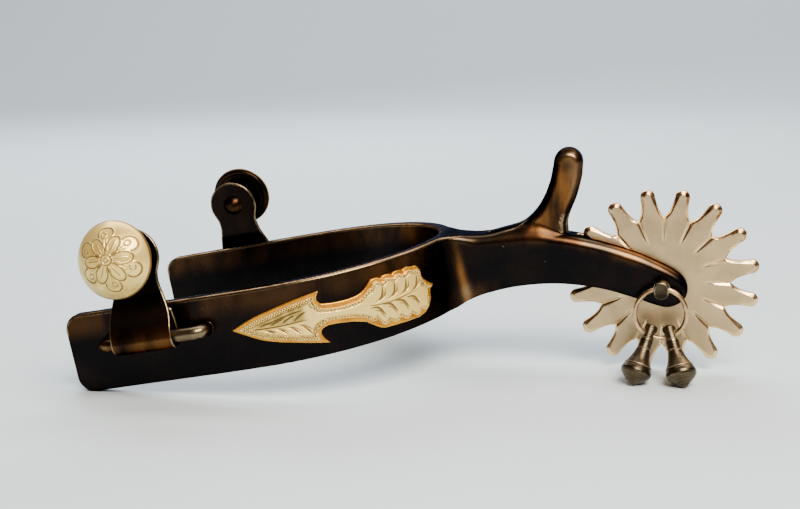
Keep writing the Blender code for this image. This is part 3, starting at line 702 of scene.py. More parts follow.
def forging_satin_and_sheen(x, y, z):
    """Grey satiny finish rubbed along the rounded top of the fork's ears and the near edge of the shank,
    lightened there as a painted sheen; also a painted highlight spot low on the shank's root and a painted
    highlight arc over the guard's tip.
    """
    shank_edge, _ = SHANK_CURVE.offset(x, z)
    top = smooth_step(shank_edge, -3.0, -1.2) * smooth_step(z - middle_line(x), 2.0, 5.0)
    outer = smooth_step(np.abs(y), 3.0, 4.6)
    along_ear = 0.2 * smooth_step(x, 38.0, 41.0)
    along_shank = 0.12 * smooth_step(x, 1.0, 4.0) * smooth_step(-x, -24.0, -14.0)
    # painted highlights: a spot on the shank's root and an arc over the guard's tip
    spot = 0.45 * bump_at(x, 2.6, 1.3) * bump_at(z, -18.6, 2.2)
    tip = 0.45 * bump_at(np.hypot(x - 39.8, z - 15.3), 2.9, 0.6) * smooth_step(z, 15.8, 17.2)
    return np.clip(top * outer * (along_ear + along_shank) + spot + tip, 0, 1)


def forging_wear_and_highlight(x, y, z):
    """How much the edges are lightened: the upper edges are worn and carry a painted highlight of the light
    from above; on the guard only the edges towards the rowel are lightened, as a painted highlight line.
    """
    upper = smooth_step(z - middle_line(x), 3.0, 6.5)
    towards_rowel = 0.05 + 0.4 * smooth_step(x - 32 - 0.55 * z, 0.5, 2.5) * smooth_step(z, 4.0, 9.0)
    return mix(upper, towards_rowel, smooth_step(z, -0.5, 1.5) * smooth_step(x, 15.0, 22.0))


def make_forging():
    low = (-BAND_LENGTH - 1, -BAND_HALF_WIDTH - 1, -34)
    high = (70, BAND_HALF_WIDTH + 1, 21)
    step = 0.5
    return skinned_piece("forging", forging_field, low, high, step, "spur_frame", "blued_steel",
                         ("heel_band", "shank"), SPUR, {"brown": brown_and_sheen, "satin_and_sheen": forging_satin_and_sheen},
                         forging_wear_and_highlight)


# ---------------------------------------------------------------- rowel

def petal_points():
    """A rowel point's edge, from notch to notch round its tip, as (along its middle line, across)."""
    notch = ROWEL_NOTCH * ROWEL_RADIUS
    tip_centre = ROWEL_RADIUS - ROWEL_TIP_RADIUS
    notch_corner = (notch * cos(pi / ROWEL_POINTS), notch * sin(pi / ROWEL_POINTS))
    side = [(0.712 * ROWEL_RADIUS, 3.45), (0.735 * ROWEL_RADIUS, 3.02), (0.78 * ROWEL_RADIUS, 2.62),
            (0.83 * ROWEL_RADIUS, 2.38), (0.88 * ROWEL_RADIUS, 2.25)]
    tip = arc((tip_centre, 0), ROWEL_TIP_RADIUS, 84, -84, 28)
    half = [notch_corner] + smooth_run(side, 4) + tip[:len(tip) // 2 + 1]
    return [(r, w) for r, w in half] + [(r, -w) for r, w in half[-2::-1]]


PETAL_EDGE = Curve(petal_points())
PETAL_AND_HUB = Curve(petal_points() + [(0, -ROWEL_RADIUS / 2), (0, ROWEL_RADIUS / 2)], closed=True)


def folded(x, z):
    """Polar radius and the angle from the nearest point's middle line."""
    sector = 2 * pi / ROWEL_POINTS
    angle = np.arctan2(z, x) / sector
    return np.hypot(x, z), (angle - np.floor(angle) - 0.5) * sector


def rowel_edge(x, z):
    """Signed distance to the outline, the polar radius and the distance from the nearest notch's line."""
    radius, angle = folded(x, z)
    along, across = radius * np.cos(angle), radius * np.sin(angle)
    edge, _ = PETAL_EDGE.distance(along, across)
    edge = np.where(PETAL_AND_HUB.inside(along, across), -edge, edge)
    return edge, radius, radius * np.sin(pi / ROWEL_POINTS - np.abs(angle))


def bevel_width(radius):
    return mix(0.75, 1.35, smooth_step(radius, 0.80 * ROWEL_RADIUS, 0.96 * ROWEL_RADIUS))


def rowel_field(x, y, z):
    """A star with bevelled points and a V-shaped groove running in from each notch."""
    edge, radius, from_notch = rowel_edge(x, z)
    bevel = 0.66 * np.clip(1 + edge / bevel_width(radius), 0, 1)
    groove_run = smooth_step(radius, 0.40 * ROWEL_RADIUS, 0.68 * ROWEL_RADIUS)
    groove = 0.6 * groove_run * np.clip(1 - from_notch / (0.3 + 0.55 * groove_run), 0, 1)
    half = ROWEL_HALF - np.maximum(bevel, groove)
    return round_both(edge, np.abs(y) - half, 0.35)


def rowel_painted_reflection(x, y, z):
    """Painted warm reflection: brown on the bevels round the tips of the points, strongest on the upper ones.
    """
    edge, radius, _ = rowel_edge(x, z)
    tip = smooth_step(radius, 0.80 * ROWEL_RADIUS, 0.90 * ROWEL_RADIUS)
    on_bevel = smooth_step(edge, -1.3, -0.9) * smooth_step(-edge, 0.05, 0.3)
    return tip * on_bevel * mix(0.1, 1.0, smooth_step(z, -4.0, 12.0)) * smooth_step(np.abs(y), 0.5, 0.8)


def rowel_polish(x, y, z):
    """The bevels and grooves are polished; the faces are frosted."""
    edge, radius, from_notch = rowel_edge(x, z)
    groove = smooth_step(radius, 0.40 * ROWEL_RADIUS, 0.50 * ROWEL_RADIUS)
    groove = groove * smooth_step(-from_notch, -0.8, -0.5)
    return np.maximum(smooth_step(edge + bevel_width(radius), -0.1, 0.1), groove)


def make_rowel():
    reach = ROWEL_RADIUS + 0.3
    step = ((0.19, 0.16, 0.19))
    marks = {"tarnish_and_reflection": rowel_painted_reflection, "polish": rowel_polish}
    skinned_piece("rowel_star", rowel_field, (-reach, -1.6, -reach), (reach, 1.6, reach), step,
                  "rowel_wheel", "polished_steel", ("rowel",), AXLE, marks)


def pin_field(x, y, z):
    """The axle with its cross-drilled eye; the origin is on its axis and -Y is the near side."""
    shaft = np.maximum(np.hypot(x, z) - PIN_RADIUS, np.abs(y + 1.5) - 8.2)
    eye_x, eye_y = EYE_PLACE
    neck = np.maximum(np.hypot(x - 0.35 * eye_x, z) - PIN_RADIUS - 0.1, np.abs(y + 7.5) - 2.0)
    below = z - np.clip(z, -EYE_DROP, 0.0)
    eye = round_both(np.hypot(x - eye_x, below) - EYE_HALF, np.abs(y - eye_y) - EYE_DEPTH, 0.45)
    body = round_either(np.minimum(shaft, neck), eye, 0.6)
    head_radius = np.sqrt(np.maximum(4.6 ** 2 - (y - 3.9) ** 2, 0)) + 0.4
    head = np.maximum(np.hypot(x, z) - np.minimum(head_radius, 3.0), np.abs(y - 7.0) - 0.8)
    body = round_either(body, head, 0.2)
    return round_both(body, RING_HOLE - np.hypot(y - eye_y, z), 0.25)


def pin_painted_shade(x, y, z):
    """Painted shade: the underside of the pin's eye is black, and its end face is darkened as a painted
    reflection of dim surroundings.
    """
    under = smooth_step(-z, 0.2, 1.8) * smooth_step(-y, 7.5, 8.5)
    return np.maximum(0.5 * smooth_step(-y, 11.1, 11.7), under)


def make_pin():
    marks = {"along": lambda x, y, z: y * 0.3, "painted_shade": pin_painted_shade}
    skinned_piece("axle_pin", pin_field, (-3.4, -12.6, -3.4), (3.4, 8.0, 3.4), 0.16, "spur_frame",
                  "bronze_steel", ("rowel_pin",), AXLE, marks)


# ---------------------------------------------------------------- jingle ring and bobs

def ring_mesh(radius, wire, around, sides):
    """A ring hanging from its top; its origin is at the top of the wire's middle line."""
    points, normals, quads = [], [], []
    for i in range(around):
        turn = 2 * pi * i / around
        out = Vector((sin(turn), 0, cos(turn)))
        thin = wire * (1 + 0.025 * sin(5 * turn) + 0.02 * sin(11 * turn + 1))
        for k in range(sides):
            side = 2 * pi * k / sides
            normal = cos(side) * out + sin(side) * Vector((0, 1, 0))
            points.append(Vector((0, 0, -radius)) + radius * out + thin * normal)
            normals.append(normal)
            nexts = ((i + 1) % around) * sides
            quads.append((i * sides + k, nexts + k, nexts + (k + 1) % sides, i * sides + (k + 1) % sides))
    return np.array(points), quads, np.array(normals)


def ring_matrix():
    """The ring's frame: X along its hinge and Z from its middle to the pin's eye."""
    eye = Vector(JOINTS["ring_swing"]["pos_m"])
    left = Vector(JOINTS["left_bob_swing"]["pos_m"])
    right = Vector(JOINTS["right_bob_swing"]["pos_m"])
    x = -Vector(JOINTS["ring_swing"]["axis"])
    across = (left - eye).cross(right - eye)
    return axes_matrix(eye, x, across if across.y > 0 else -across)


def make_ring():
    points, quads, normals = ring_mesh(RING_RADIUS, WIRE_RADIUS, 160, 24)
    # the wire is brown all round, most on its inner side
    inner = smooth_step(RING_RADIUS - np.hypot(points[:, 0], points[:, 2] + RING_RADIUS), 0.0, 0.6)
    marks = {"polish": np.full(len(points), 0.7), "tarnish_and_reflection": 0.35 + 0.6 * inner}
    piece("bob_ring_wire", points, quads, "bob_ring", "polished_steel", ("jingle_ring",), ring_matrix(),
          normals, marks)


def bob_outline():
    """Half of a turned bob, as (distance down from its hole, radius)."""
    top = arc((-BOB_TOP + 0.75, 1.2), 0.75, 180, 90, 6)
    collar = [(-1.0, 2.0), (1.15, 2.0), (1.25, 1.88), (1.38, 1.88), (1.48, 2.0), (3.0, 1.97)]
    neck = [(4.4, 2.07), (4.5, 2.02), (4.62, 2.02), (4.72, 2.12), (6.0, 2.42), (7.3, 2.82), (8.5, 3.3),
            (9.4, 3.85)]
    crown = [(9.72, 4.12), (9.9, 4.14), (10.05, 4.0)]
    cone = [(10.5, 4.2), (11.2, 4.5), (12.0, 4.6), (12.8, 4.32), (13.6, 3.6), (14.6, 2.4), (15.5, 1.25),
            (BOB_REACH - 0.1, 0.2)]
    half = [(-BOB_TOP, 0.0)] + top + collar + neck + crown + smooth_run(cone, 4) + [(BOB_REACH, 0.0)]
    return Curve(half + [(a, -r) for a, r in half[-2:0:-1]], closed=True)


BOB_CURVE = bob_outline()


def bob_field(x, y, z):
    """A bob hanging along -Z from its hole, which runs along X."""
    shell, _ = BOB_CURVE.signed(-z, np.hypot(x, y))
    return round_both(shell, BOB_HOLE - np.hypot(y, z), 0.25)


def bob_matrix(name):
    """A bob's frame: X along its hinge, and the point on the ground, outwards from the rowel."""
    joint = JOINTS[name]
    hole = Vector(joint["pos_m"])
    x = -Vector(joint["axis"])
    level = Vector((0, -1, 0)) - x * x.dot(Vector((0, -1, 0)))
    level.normalize()
    down = x.cross(level)
    if down.z > 0:
        down = -down
    drop = (hole.z - 0.0001) / BOB_REACH / MM / -down.z
    point = down * drop + level * sqrt(1 - drop * drop)
    return axes_matrix(hole, x, (-point).cross(x))


def bob_painted_shade(x, y, z):
    """Painted shade: the sides of a bob's neck are darker towards its hole, and its point towards the ground.
    """
    return 0.35 * smooth_step(-z, 8.0, 12.0) + 0.25 * bump_at(z, -1.5, 2.0)


def make_bobs():
    for side in ("left", "right"):
        skinned_piece(side + "_bob_turned", bob_field, (-5.2, -5.2, -BOB_REACH), (5.2, 5.2, BOB_TOP),
                      0.17, side + "_bob", "bronze_steel", ("jingle_bob_" + side,),
                      bob_matrix(side + "_bob_swing"), {"along": lambda x, y, z: z, "painted_shade": bob_painted_shade})


# ---------------------------------------------------------------- button hangers

def staple_field_for(side, hinge):
    """The rod's field, in the spur's frame; its feet flare where they are welded to the arm."""
    path = []
    for x, turn, start, end in ((ROD_FRONT, 1, 180, 90), (ROD_BACK, -1, 90, 0)):
        corner = arc((hinge.x + x + turn * ROD_BEND, abs(hinge.y) - ROD_BEND), ROD_BEND, start, end, 10)
        foot = (hinge.x + x, arm_half_width(-hinge.x - x) - 0.6)
        path += [foot] + corner if turn > 0 else corner + [foot]
    rod = Curve(path)

    def field(x, y, z):
        distance, _ = rod.distance(x, side * y)
        from_arm = side * y - arm_half_width(-hinge.x) - 0.0528 * (x - hinge.x)
        flare = 0.45 * np.exp(-np.maximum(from_arm, 0) / 0.4)
        return np.hypot(distance, z - hinge.z) - ROD_RADIUS - flare
    return field


def make_staple(name, side):
    hinge = joint_place(name + "_button_swing")
    field = staple_field_for(side, hinge)
    outer, inner = side * (abs(hinge.y) + 2.4), side * (arm_half_width(-hinge.x) - 2.0)
    low = (hinge.x + ROD_FRONT - 3.2, min(outer, inner), hinge.z - 3.2)
    high = (hinge.x + ROD_BACK + 3.2, max(outer, inner), hinge.z + 3.2)

    def trimmed(x, y, z):
        out, _ = BAND_CURVE.offset(x, y)
        return np.maximum(field(x, y, z), -0.5 - out)

    # painted sheen: the rod is lightened on its outer side towards the rowel, besides being rubbed to a
    # satiny finish
    def rubbed(x, y, z):
        outside = smooth_step(side * y - arm_half_width(-hinge.x), 2.6, 4.6)
        return 0.45 * outside * smooth_step(x - hinge.x, -8.0, 4.0)

    marks = {"brown": lambda x, y, z: 0 * x + 0.3, "satin_and_sheen": rubbed}
    skinned_piece(name + "_staple_rod", trimmed, low, high, 0.3, "spur_frame", "blued_steel",
                  (name + "_hinge_staple",), SPUR, marks)


def hanger_half_width(height):
    """Half-width of the keyhole strap at a height above the hinge."""
    above = height - EYE_PLATE_HEIGHT
    blend_start, blend_run = -3.4, 3.4
    if above > blend_start:
        return sqrt(max(EYE_PLATE_RADIUS ** 2 - above ** 2, 0.0))
    if above > blend_start - blend_run:
        swell = sqrt(EYE_PLATE_RADIUS ** 2 - blend_start ** 2) - NECK_HALF
        return NECK_HALF + swell * ((above - blend_start + blend_run) / blend_run) ** 2
    flare = min(max((17.5 - height) / 12.0, 0.0), 1.0)
    return NECK_HALF + (HANGER_HALF - NECK_HALF) * flare * flare * (3 - 2 * flare)


def strap_path():
    """Middle of the folded strap, as (outward, height): eye, neck, round the rod, and up to the tab's end."""
    neck = [(0, 33.6), (0, 24), (0, 18), (0, 14.0), (0.15, 12.2), (0.8, 9.2), (1.8, 5.2), (2.6, 2.4)]
    wrap = []
    for angle in range(0, 181, 15):
        wrap.append((WRAP_RADIUS * cos(radians(angle)), -WRAP_RADIUS * sin(radians(angle))))
    tab = [(-2.65, 2.4), (-1.9, 4.8), (-1.0, 6.9), (-0.5, 9.2)]
    return Curve(smooth_run(neck + wrap + tab, 4))


STRAP_PATH = strap_path()


def strap_outline():
    """Flat outline of the unfolded strap, as (across, length along the path)."""
    heights = STRAP_PATH.points[:, 1]
    fold = int(heights.argmin())
    side = []
    for angle in np.linspace(90, -23, 26):
        height = EYE_PLATE_HEIGHT + EYE_PLATE_RADIUS * sin(radians(angle))
        side.append((EYE_PLATE_RADIUS * cos(radians(angle)), along_path(height, fold)))
    for height in (20.2, 19.4, 18.6, 17.5, 16.4, 15.0, 13.4, 11.6, 10.0, 8.4, 6.8, 5.4, 2.4):
        side.append((hanger_half_width(height), along_path(height, fold)))
    end = STRAP_PATH.lengths[-1] - (9.2 - TAB_HEIGHT)
    side += [(HANGER_HALF, STRAP_PATH.lengths[fold])] + arc((HANGER_HALF - 1.2, end - 1.2), 1.2, 0, 90, 6)
    return Curve(side + [(-x, u) for x, u in side[::-1]], closed=True)


def along_path(height, fold):
    """Length along the strap's path where its inner leaf is at a height."""
    heights = STRAP_PATH.points[:fold + 1, 1]
    return float(np.interp(-height, -heights, STRAP_PATH.lengths[:fold + 1]))


STRAP_OUTLINE = strap_outline()


def strap_field(x, u, n):
    edge, _ = STRAP_OUTLINE.signed(x, u)
    hole = 1.9 - np.hypot(x, u - along_path(EYE_PLATE_HEIGHT, int(STRAP_PATH.points[:, 1].argmin())))
    return round_both(np.maximum(edge, hole), np.abs(n) - STRAP_THICK / 2, 0.36)


def fold_strap(points, normals):
    """Bends the flat strap to its path; the second coordinate is the length and the third the thickness."""
    x, u, n = points.T
    path = STRAP_PATH
    (out, height), normal, tangent = frame_along(path.lengths, path.points, path.normals, u)
    placed = np.stack((x, -(out + normal[:, 0] * n), height + normal[:, 1] * n), 1)
    turned = np.stack((normals[:, 0],
                       -(tangent[:, 0] * normals[:, 1] + normal[:, 0] * normals[:, 2]),
                       tangent[:, 1] * normals[:, 1] + normal[:, 1] * normals[:, 2]), 1)
    return placed, turned


def lean_matrix(name, side):
    """A hanger's frame: origin on its hinge, Z up along the strap and -Y outwards."""
    joint = JOINTS[name + "_button_swing"]
    across = Vector(joint["axis"])
    upright = axes_matrix(joint["pos_m"], across, (0, -side, 0))
    return upright @ Matrix.Rotation(-HANGER_LEAN, 4, "X")


def make_hanger(name, side):
    low, high = (-10.2, -0.2, -0.6), (10.2, STRAP_PATH.lengths[-1], 0.6)
    points, quads, normals, bend = skin(strap_field, low, high, (0.36, 0.36, 0.2))
    placed, turned = fold_strap(points, normals)
    brown = 0.04 + 0.5 * smooth_step(-placed[:, 2], -6.0, -1.0)
    # painted sheen: a faint band lightens the strap about 7 mm above the hinge; the strap is also browner
    # towards its fold round the rod
    marks = {"bend": bend, "brown": brown, "satin_and_sheen": 0.13 * bump_at(placed[:, 2], 7.0, 3.0)}
    piece(name + "_strap", placed, quads[:, ::-1], name + "_button", "blued_steel", (name + "_hanger",),
          lean_matrix(name, side), turned, marks)


# ---------------------------------------------------------------- buttons

def turned_mesh(profile, segments):
    """Revolves (height, radius) pairs about the button's axis, which points along -Y."""
    points, quads, rows = [], [], []
    for height, radius in profile:
        count = 1 if radius < 1e-6 else segments
        rows.append((len(points), count))
        for i in range(count):
            angle = 2 * pi * i / segments
            points.append((radius * cos(angle), -height, radius * sin(angle)))
    for (low, low_count), (high, high_count) in zip(rows, rows[1:]):
        for i in range(segments):
            j = (i + 1) % segments
            quads.append((low + i % low_count, high + i % high_count,
                          high + j % high_count, low + j % low_count))
    return np.array(points), quads


def rounded_profile(corners, radius, steps=4):
    """Rounds the corners of a (height, radius) run, except its ends."""
    run = [corners[0]]
    for before, here, after in zip(corners, corners[1:], corners[2:]):
        here = Vector(here)
        into = Vector(before) - here
        out = Vector(after) - here
        cut = min(radius, into.length * 0.45, out.length * 0.45)
        start, end = here + into.normalized() * cut, here + out.normalized() * cut
        for i in range(steps + 1):
            t = i / steps
            run.append(tuple((1 - t) ** 2 * start + 2 * t * (1 - t) * here + t * t * end))
    return run + [corners[-1]]


def vertex_normals(points, quads):
    mesh = mesh_of("scratch", points, quads)
    normals = np.array([tuple(v.vector) for v in mesh.vertex_normals])
    bpy.data.meshes.remove(mesh)
    return normals


def button_piece(name, side, shape, node, slot, points, quads, marks):
    """Puts a turned piece of a button at its hanger's eye."""
    piece(name + shape, points + [0, 0, EYE_PLATE_HEIGHT], quads, name + "_button", slot, (name + node,),
          lean_matrix(name, side), vertex_normals(points, quads), marks)


def make_stud(name, side):
    face = STRAP_THICK / 2
    front = DISC_BACK + DISC_THICK
    rivet = [(-face - 2.3, 0), (-face - 2.0, 1.5), (-face - 1.2, 2.7), (-face - 0.3, 3.4),
             (-face + 0.05, 3.5), (-face + 0.1, STUD_RADIUS)]
    spacer = [(face - 0.1, STUD_RADIUS), (face, SHOULDER_RADIUS), (DISC_BACK, SHOULDER_RADIUS)]
    head = [(DISC_BACK + 0.05, STUD_RADIUS), (front, STUD_RADIUS), (front + 0.1, SHOULDER_RADIUS),
            (front + 0.9, 2.1), (front + 1.0, 0)]
    points, quads = turned_mesh(rounded_profile(rivet + spacer + head, 0.3), 48)
    marks = {"bend": np.full(len(points), 0.2), "brown": np.full(len(points), 0.3)}
    button_piece(name, side, "_stud_turned", "_button_stud", "blued_steel", points, quads, marks)


def make_disc(name, side):
    front = DISC_BACK + DISC_THICK
    corners = [(front, 0), (front, DISC_RADIUS - 0.1), (front - 0.1, DISC_RADIUS),
               (DISC_BACK + 0.5, DISC_RADIUS), (DISC_BACK + 0.1, DISC_RADIUS - 0.5),
               (DISC_BACK, DISC_RADIUS - 1.5),
               (DISC_BACK + 0.12, DISC_RADIUS - 2.0), (DISC_BACK, DISC_RADIUS - 2.5), (DISC_BACK, 0)]
    points, quads = turned_mesh(rounded_profile(corners, 0.3)[::-1], 96)
    points = points * [BUTTON_SHARE[name], 1, BUTTON_SHARE[name]]
    rim = smooth_step(np.hypot(points[:, 0], points[:, 2]), DISC_RADIUS - 0.7, DISC_RADIUS - 0.2)
    marks = {"bend": 0.9 * rim, "brown": np.full(len(points), 0.1)}
    button_piece(name, side, "_disc_turned", "_button_disc", "blued_steel", points, quads, marks)


def dome_arc(radius, rise, base, steps):
    """Spherical cap as (height, radius) pairs, from the rim to the pole."""
    ball = (radius ** 2 + rise ** 2) / (2 * rise)
    widest = asin(radius / ball)
    shares = 1 - np.arange(steps) / steps
    side = [(base + rise - ball + ball * cos(widest * t), ball * sin(widest * t)) for t in shares]
    return side + [(base + rise, 0)]


def line_cut(distance, width):
    """Depth, from 0 to 1, of a V-shaped cut at a distance from its middle."""
    return np.clip(1 - distance / width, 0, 1)


def flower_cut(radius, angle):
    """The dome's engraving: a six-petalled flower, with fans and scrolls between its petals and a border."""
    safe = np.maximum(radius, 0.3)
    petal = np.maximum(np.abs(np.cos(3 * angle)), 0.06)
    outline = 1.5 + 5.4 * petal ** 0.7
    steep = 11.3 * petal ** -0.3 * np.abs(np.sin(3 * angle)) / safe
    cut = line_cut(np.abs(radius - outline) / np.hypot(1, steep), 0.26) * (radius > 1.5)
    cut = np.maximum(cut, line_cut(np.abs(radius - 1.5), 0.24))
    cut = np.maximum(cut, 0.6 * line_cut(np.abs(radius - 0.6), 0.3))
    veins = line_cut(np.abs(np.sin(9 * angle)) * radius / 9, 0.2) * (radius > 2.2)
    veins = veins * smooth_step(outline - radius, 1.0, 1.8)
    fans = line_cut(np.abs(np.sin(21 * angle)) * radius / 21, 0.17)
    fans = fans * smooth_step(radius - outline, 0.5, 0.9) * smooth_step(-radius, -6.6, -5.4)
    gap_angle = ((angle / (pi / 3)) % 1.0 - 0.5) * pi / 3
    out, across = radius * np.cos(gap_angle) - 7.2, radius * np.sin(gap_angle)
    scroll = line_cut(np.abs(np.hypot(out, 0.8 * across) - 1.7), 0.26) * smooth_step(out, -1.4, -0.4)
    curl = line_cut(np.abs(np.hypot(out + 0.3, across - 0.5) - 0.7), 0.2)
    hatch = (angle * 36 / pi - 0.8 * radius) % 1.0 - 0.5
    shade = 0.6 * line_cut(np.abs(hatch) * radius * pi / 36, 0.15) * smooth_step(radius, 9.3, 9.6)
    shade = shade * smooth_step(-radius, -10.5, -10.3) * smooth_step(np.cos(angle + pi / 3), 0.5, 0.7)
    return np.max([cut, 0.8 * veins, 0.7 * fans, scroll, 0.8 * curl, shade], axis=0)


def make_dome(name, side):
    rim = DISC_BACK + DISC_THICK + 0.02
    base = DISC_BACK + DISC_THICK + GAP
    steps = 90
    outer = [(rim, DOME_RADIUS - 0.22), (rim + 0.06, DOME_RADIUS - 0.06), (rim + 0.18, DOME_RADIUS)]
    outer += dome_arc(DOME_RADIUS, DOME_RISE, base, steps)
    inner_radius = DOME_RADIUS - DOME_THICK
    inner = [(rim, inner_radius)] + dome_arc(inner_radius, DOME_RISE - DOME_THICK, base, 12)
    points, quads = turned_mesh(inner[::-1] + outer, 3 * steps)
    radius = np.hypot(points[:, 0], points[:, 2])
    outside = np.arange(len(points)) >= 1 + 3 * steps * (len(inner) - 1)
    across, up = points[:, 0] - FLOWER_PLACE[0], points[:, 2] - FLOWER_PLACE[1]
    cut = flower_cut(np.hypot(across, up), np.arctan2(up, across)) * outside
    cut = cut * smooth_step(-radius, 0.4 - DOME_RADIUS, 1.0 - DOME_RADIUS)
    points = points * [BUTTON_SHARE[name], 1, BUTTON_SHARE[name]]
    normals = vertex_normals(points, quads)
    points = points - normals * (0.3 * cut)[:, None]
    # painted shade: each dome is darkened round its rim and on its lower left side, away from the light,
    # through the cut and patina marks
    rim_painted_shade = smooth_step(radius, DOME_RADIUS - 0.5, DOME_RADIUS - 0.05)
    lower_left_painted_shade = smooth_step(-points[:, 2] - 0.5 * points[:, 0], -1.0, 9.0)
    marks = {"cut": np.maximum(cut, rim_painted_shade), "patina_and_shade": 0.65 * lower_left_painted_shade + 0.3 * rim_painted_shade}
    button_piece(name, side, "_dome_engraved", "_button_dome", "silver", points, quads, marks)


# ---------------------------------------------------------------- arrow

def arrow_outline():
    """Arrow on the arm's outer face, as (distance along the band from the heel, height)."""
    head_top = smooth_run([(83.4, -11.1), (77.3, -8.5), (70.9, -6.7), (64.0, -5.1), (56.4, -3.9)], 4)
    notch_top = [(57.3, -5.6), (57.4, -6.7), (56.4, -7.8)]
    shaft_top = smooth_run([(53.4, -8.2), (49.2, -8.3), (45.9, -7.9), (43.6, -6.9), (41.4, -5.0)], 3)
    scallops = []
    for i in range(4):
        start = 41.4 - 3.75 * i
        scallops += [(start - 0.5, -4.6 + 0.1 * i), (start - 1.2, -4.42 + 0.1 * i),
                     (start - 2.0, -4.4 + 0.1 * i), (start - 2.8, -4.55 + 0.1 * i),
                     (start - 3.75, -4.95 + 0.15 * i)]
    tail = smooth_run([(24.9, -4.6), (23.5, -6.2), (23.4, -8.3), (21.6, -10.3), (19.1, -11.9)], 2)
    tail += [(20.9, -13.1), (21.2, -15.4), (22.6, -17.8), (24.4, -19.1)]
    belly = [(27.0, -19.8), (31.0, -19.8), (35.5, -19.6), (39.6, -19.4), (42.2, -18.0), (44.6, -16.2)]
    shaft_low = [(48.4, -15.1), (52.0, -14.6), (55.2, -14.4), (57.2, -15.0), (57.9, -16.2), (57.2, -18.0)]
    head_low = [(55.9, -19.5), (60.0, -18.7), (65.0, -17.6), (70.6, -16.4), (76.0, -14.7), (83.4, -11.1)]
    upper = head_top + notch_top + shaft_top + scallops + tail
    lower = smooth_run(belly, 3) + smooth_run(shaft_low, 2) + smooth_run(head_low, 4)
    return Curve(upper + lower[:-1], closed=True)


ARROW = arrow_outline()


def stroke(a, z, points, width):
    """Depth of one tapering graver's stroke along a curve through the points."""
    curve = Curve(smooth_run(points, 5))
    distance, along = curve.distance(a, z)
    share = along / curve.lengths[-1]
    swell = width * np.sin(pi * np.clip(share, 0.02, 0.98)) ** 0.7
    return np.clip(1 - distance / np.maximum(swell, 0.02), 0, 1)


def head_strokes():
    """Leaf cuts above the head's spine and crescents below it."""
    strokes = [([(80.0, -11.5), (70.0, -11.7), (60.5, -11.3)], 0.26),
               ([(74.0, -10.9), (66.0, -8.9), (61.8, -8.3)], 0.3)]
    for i in range(4):
        a = 73.5 - 3.3 * i
        strokes.append(([(a + 1.2, -11.0), (a - 0.6, -10.5 + 0.25 * i), (a - 2.6, -10.2 + 0.45 * i)], 0.3))
    for i in range(5):
        a = 74.5 - 3.3 * i
        drop = 1.0 + 0.5 * i
        strokes.append(([(a + 2.2, -12.2), (a + 0.4, -12.3 - 0.45 * drop), (a - 1.0, -12.6 - drop)], 0.42))
        strokes.append(([(a + 1.3, -12.2), (a - 0.3, -12.3 - 0.4 * drop), (a - 1.4, -12.5 - 0.75 * drop)],
                        0.2))
    return strokes


def feather_strokes():
    """Crescents along both halves of the feather, and its spine."""
    strokes = [([(44.5, -11.6), (36.0, -12.3), (25.5, -11.2)], 0.26)]
    for i in range(4):
        a = 39.5 - 4.0 * i
        strokes.append(([(a + 1.8, -11.4), (a - 0.6, -10.0), (a - 1.5, -6.9)], 0.46))
        strokes.append(([(a + 0.6, -11.2), (a - 1.5, -9.9), (a - 2.2, -7.8)], 0.24))
        strokes.append(([(a + 3.4, -12.4), (a + 0.9, -13.0), (a - 0.9, -15.6)], 0.42))
        strokes.append(([(a + 2.2, -13.4), (a + 0.6, -14.1), (a - 0.5, -16.4)], 0.18))
    return strokes


STROKES = head_strokes() + feather_strokes()


def face_inset(a, z):
    """How far the silver face stays inside the gold rim: more at the shaft, scalloped on the feather."""
    shaft = 0.45 * smooth_step(a, 43.0, 46.0) * smooth_step(-a, -57.5, -55.0)
    scallop = 1 - np.abs(np.sin(pi * (a - 26.4) / 3.75))
    lower = smooth_step(-z, 11.5, 13.0)
    feather = smooth_step(-a, -43.5, -41.0)
    return 0.95 + shaft + feather * scallop * mix(0.35, 1.3, lower)


def arrow_cut(a, z, edge, along):
    """Depth of the face's engraving: a hatched border, the strokes and a small star near the tail."""
    width = mix(0.85, 1.35, smooth_step(a, 55.0, 58.0))
    across = -(edge + face_inset(a, z))
    slant = along / 0.82
    lines = [np.abs((slant + side * across / 0.9) % 1.0 - 0.5) for side in (-1, 1)]
    hatch = line_cut(np.minimum(*lines), 0.22)
    hatch = hatch * smooth_step(across, 0.1, 0.2) * smooth_step(width - across, 0.0, 0.1)
    cuts = [hatch, 0.7 * line_cut(np.abs(across - width - 0.1), 0.16)]
    inner = smooth_step(across, width + 0.1, width + 0.5)
    for points, stroke_width in STROKES:
        cuts.append(stroke(a, z, points, 1.3 * stroke_width) * inner)
    star_a, star_z = 24.6, -10.6
    reach = np.hypot(a - star_a, z - star_z)
    points = 0.6 + 0.4 * np.cos(5 * np.arctan2(z - star_z, a - star_a))
    cuts.append(np.clip((points - reach) / 0.3, 0, 1))
    return np.max(cuts, axis=0)


def arrow_patina(a, z):
    """Tarnish in the leaf above the head's spine."""
    leaf = smooth_step(z, -11.6, -11.2) * smooth_step(-z - 0.30 * (a - 66.0), 7.2, 7.8)
    return leaf * smooth_step(a, 60.5, 62.5) * smooth_step(-a, -79.0, -75.0)


def bend_to_arm(points, normals):
    """Wraps flat plate points (along, height, level) round the near arm's outer face."""
    middle = len(BAND_CURVE.points) // 2
    run = BAND_CURVE.lengths[middle:] - BAND_CURVE.lengths[middle]
    along, height, level = points.T
    foot, normal, tangent = frame_along(run, BAND_CURVE.points[middle:], BAND_CURVE.normals[middle:], along)
    placed = np.stack((foot[0] + normal[:, 0] * level, foot[1] + normal[:, 1] * level, height), 1)
    turned = np.stack((tangent[:, 0] * normals[:, 0] + normal[:, 0] * normals[:, 2],
                       tangent[:, 1] * normals[:, 0] + normal[:, 1] * normals[:, 2], normals[:, 1]), 1)
    return placed, turned


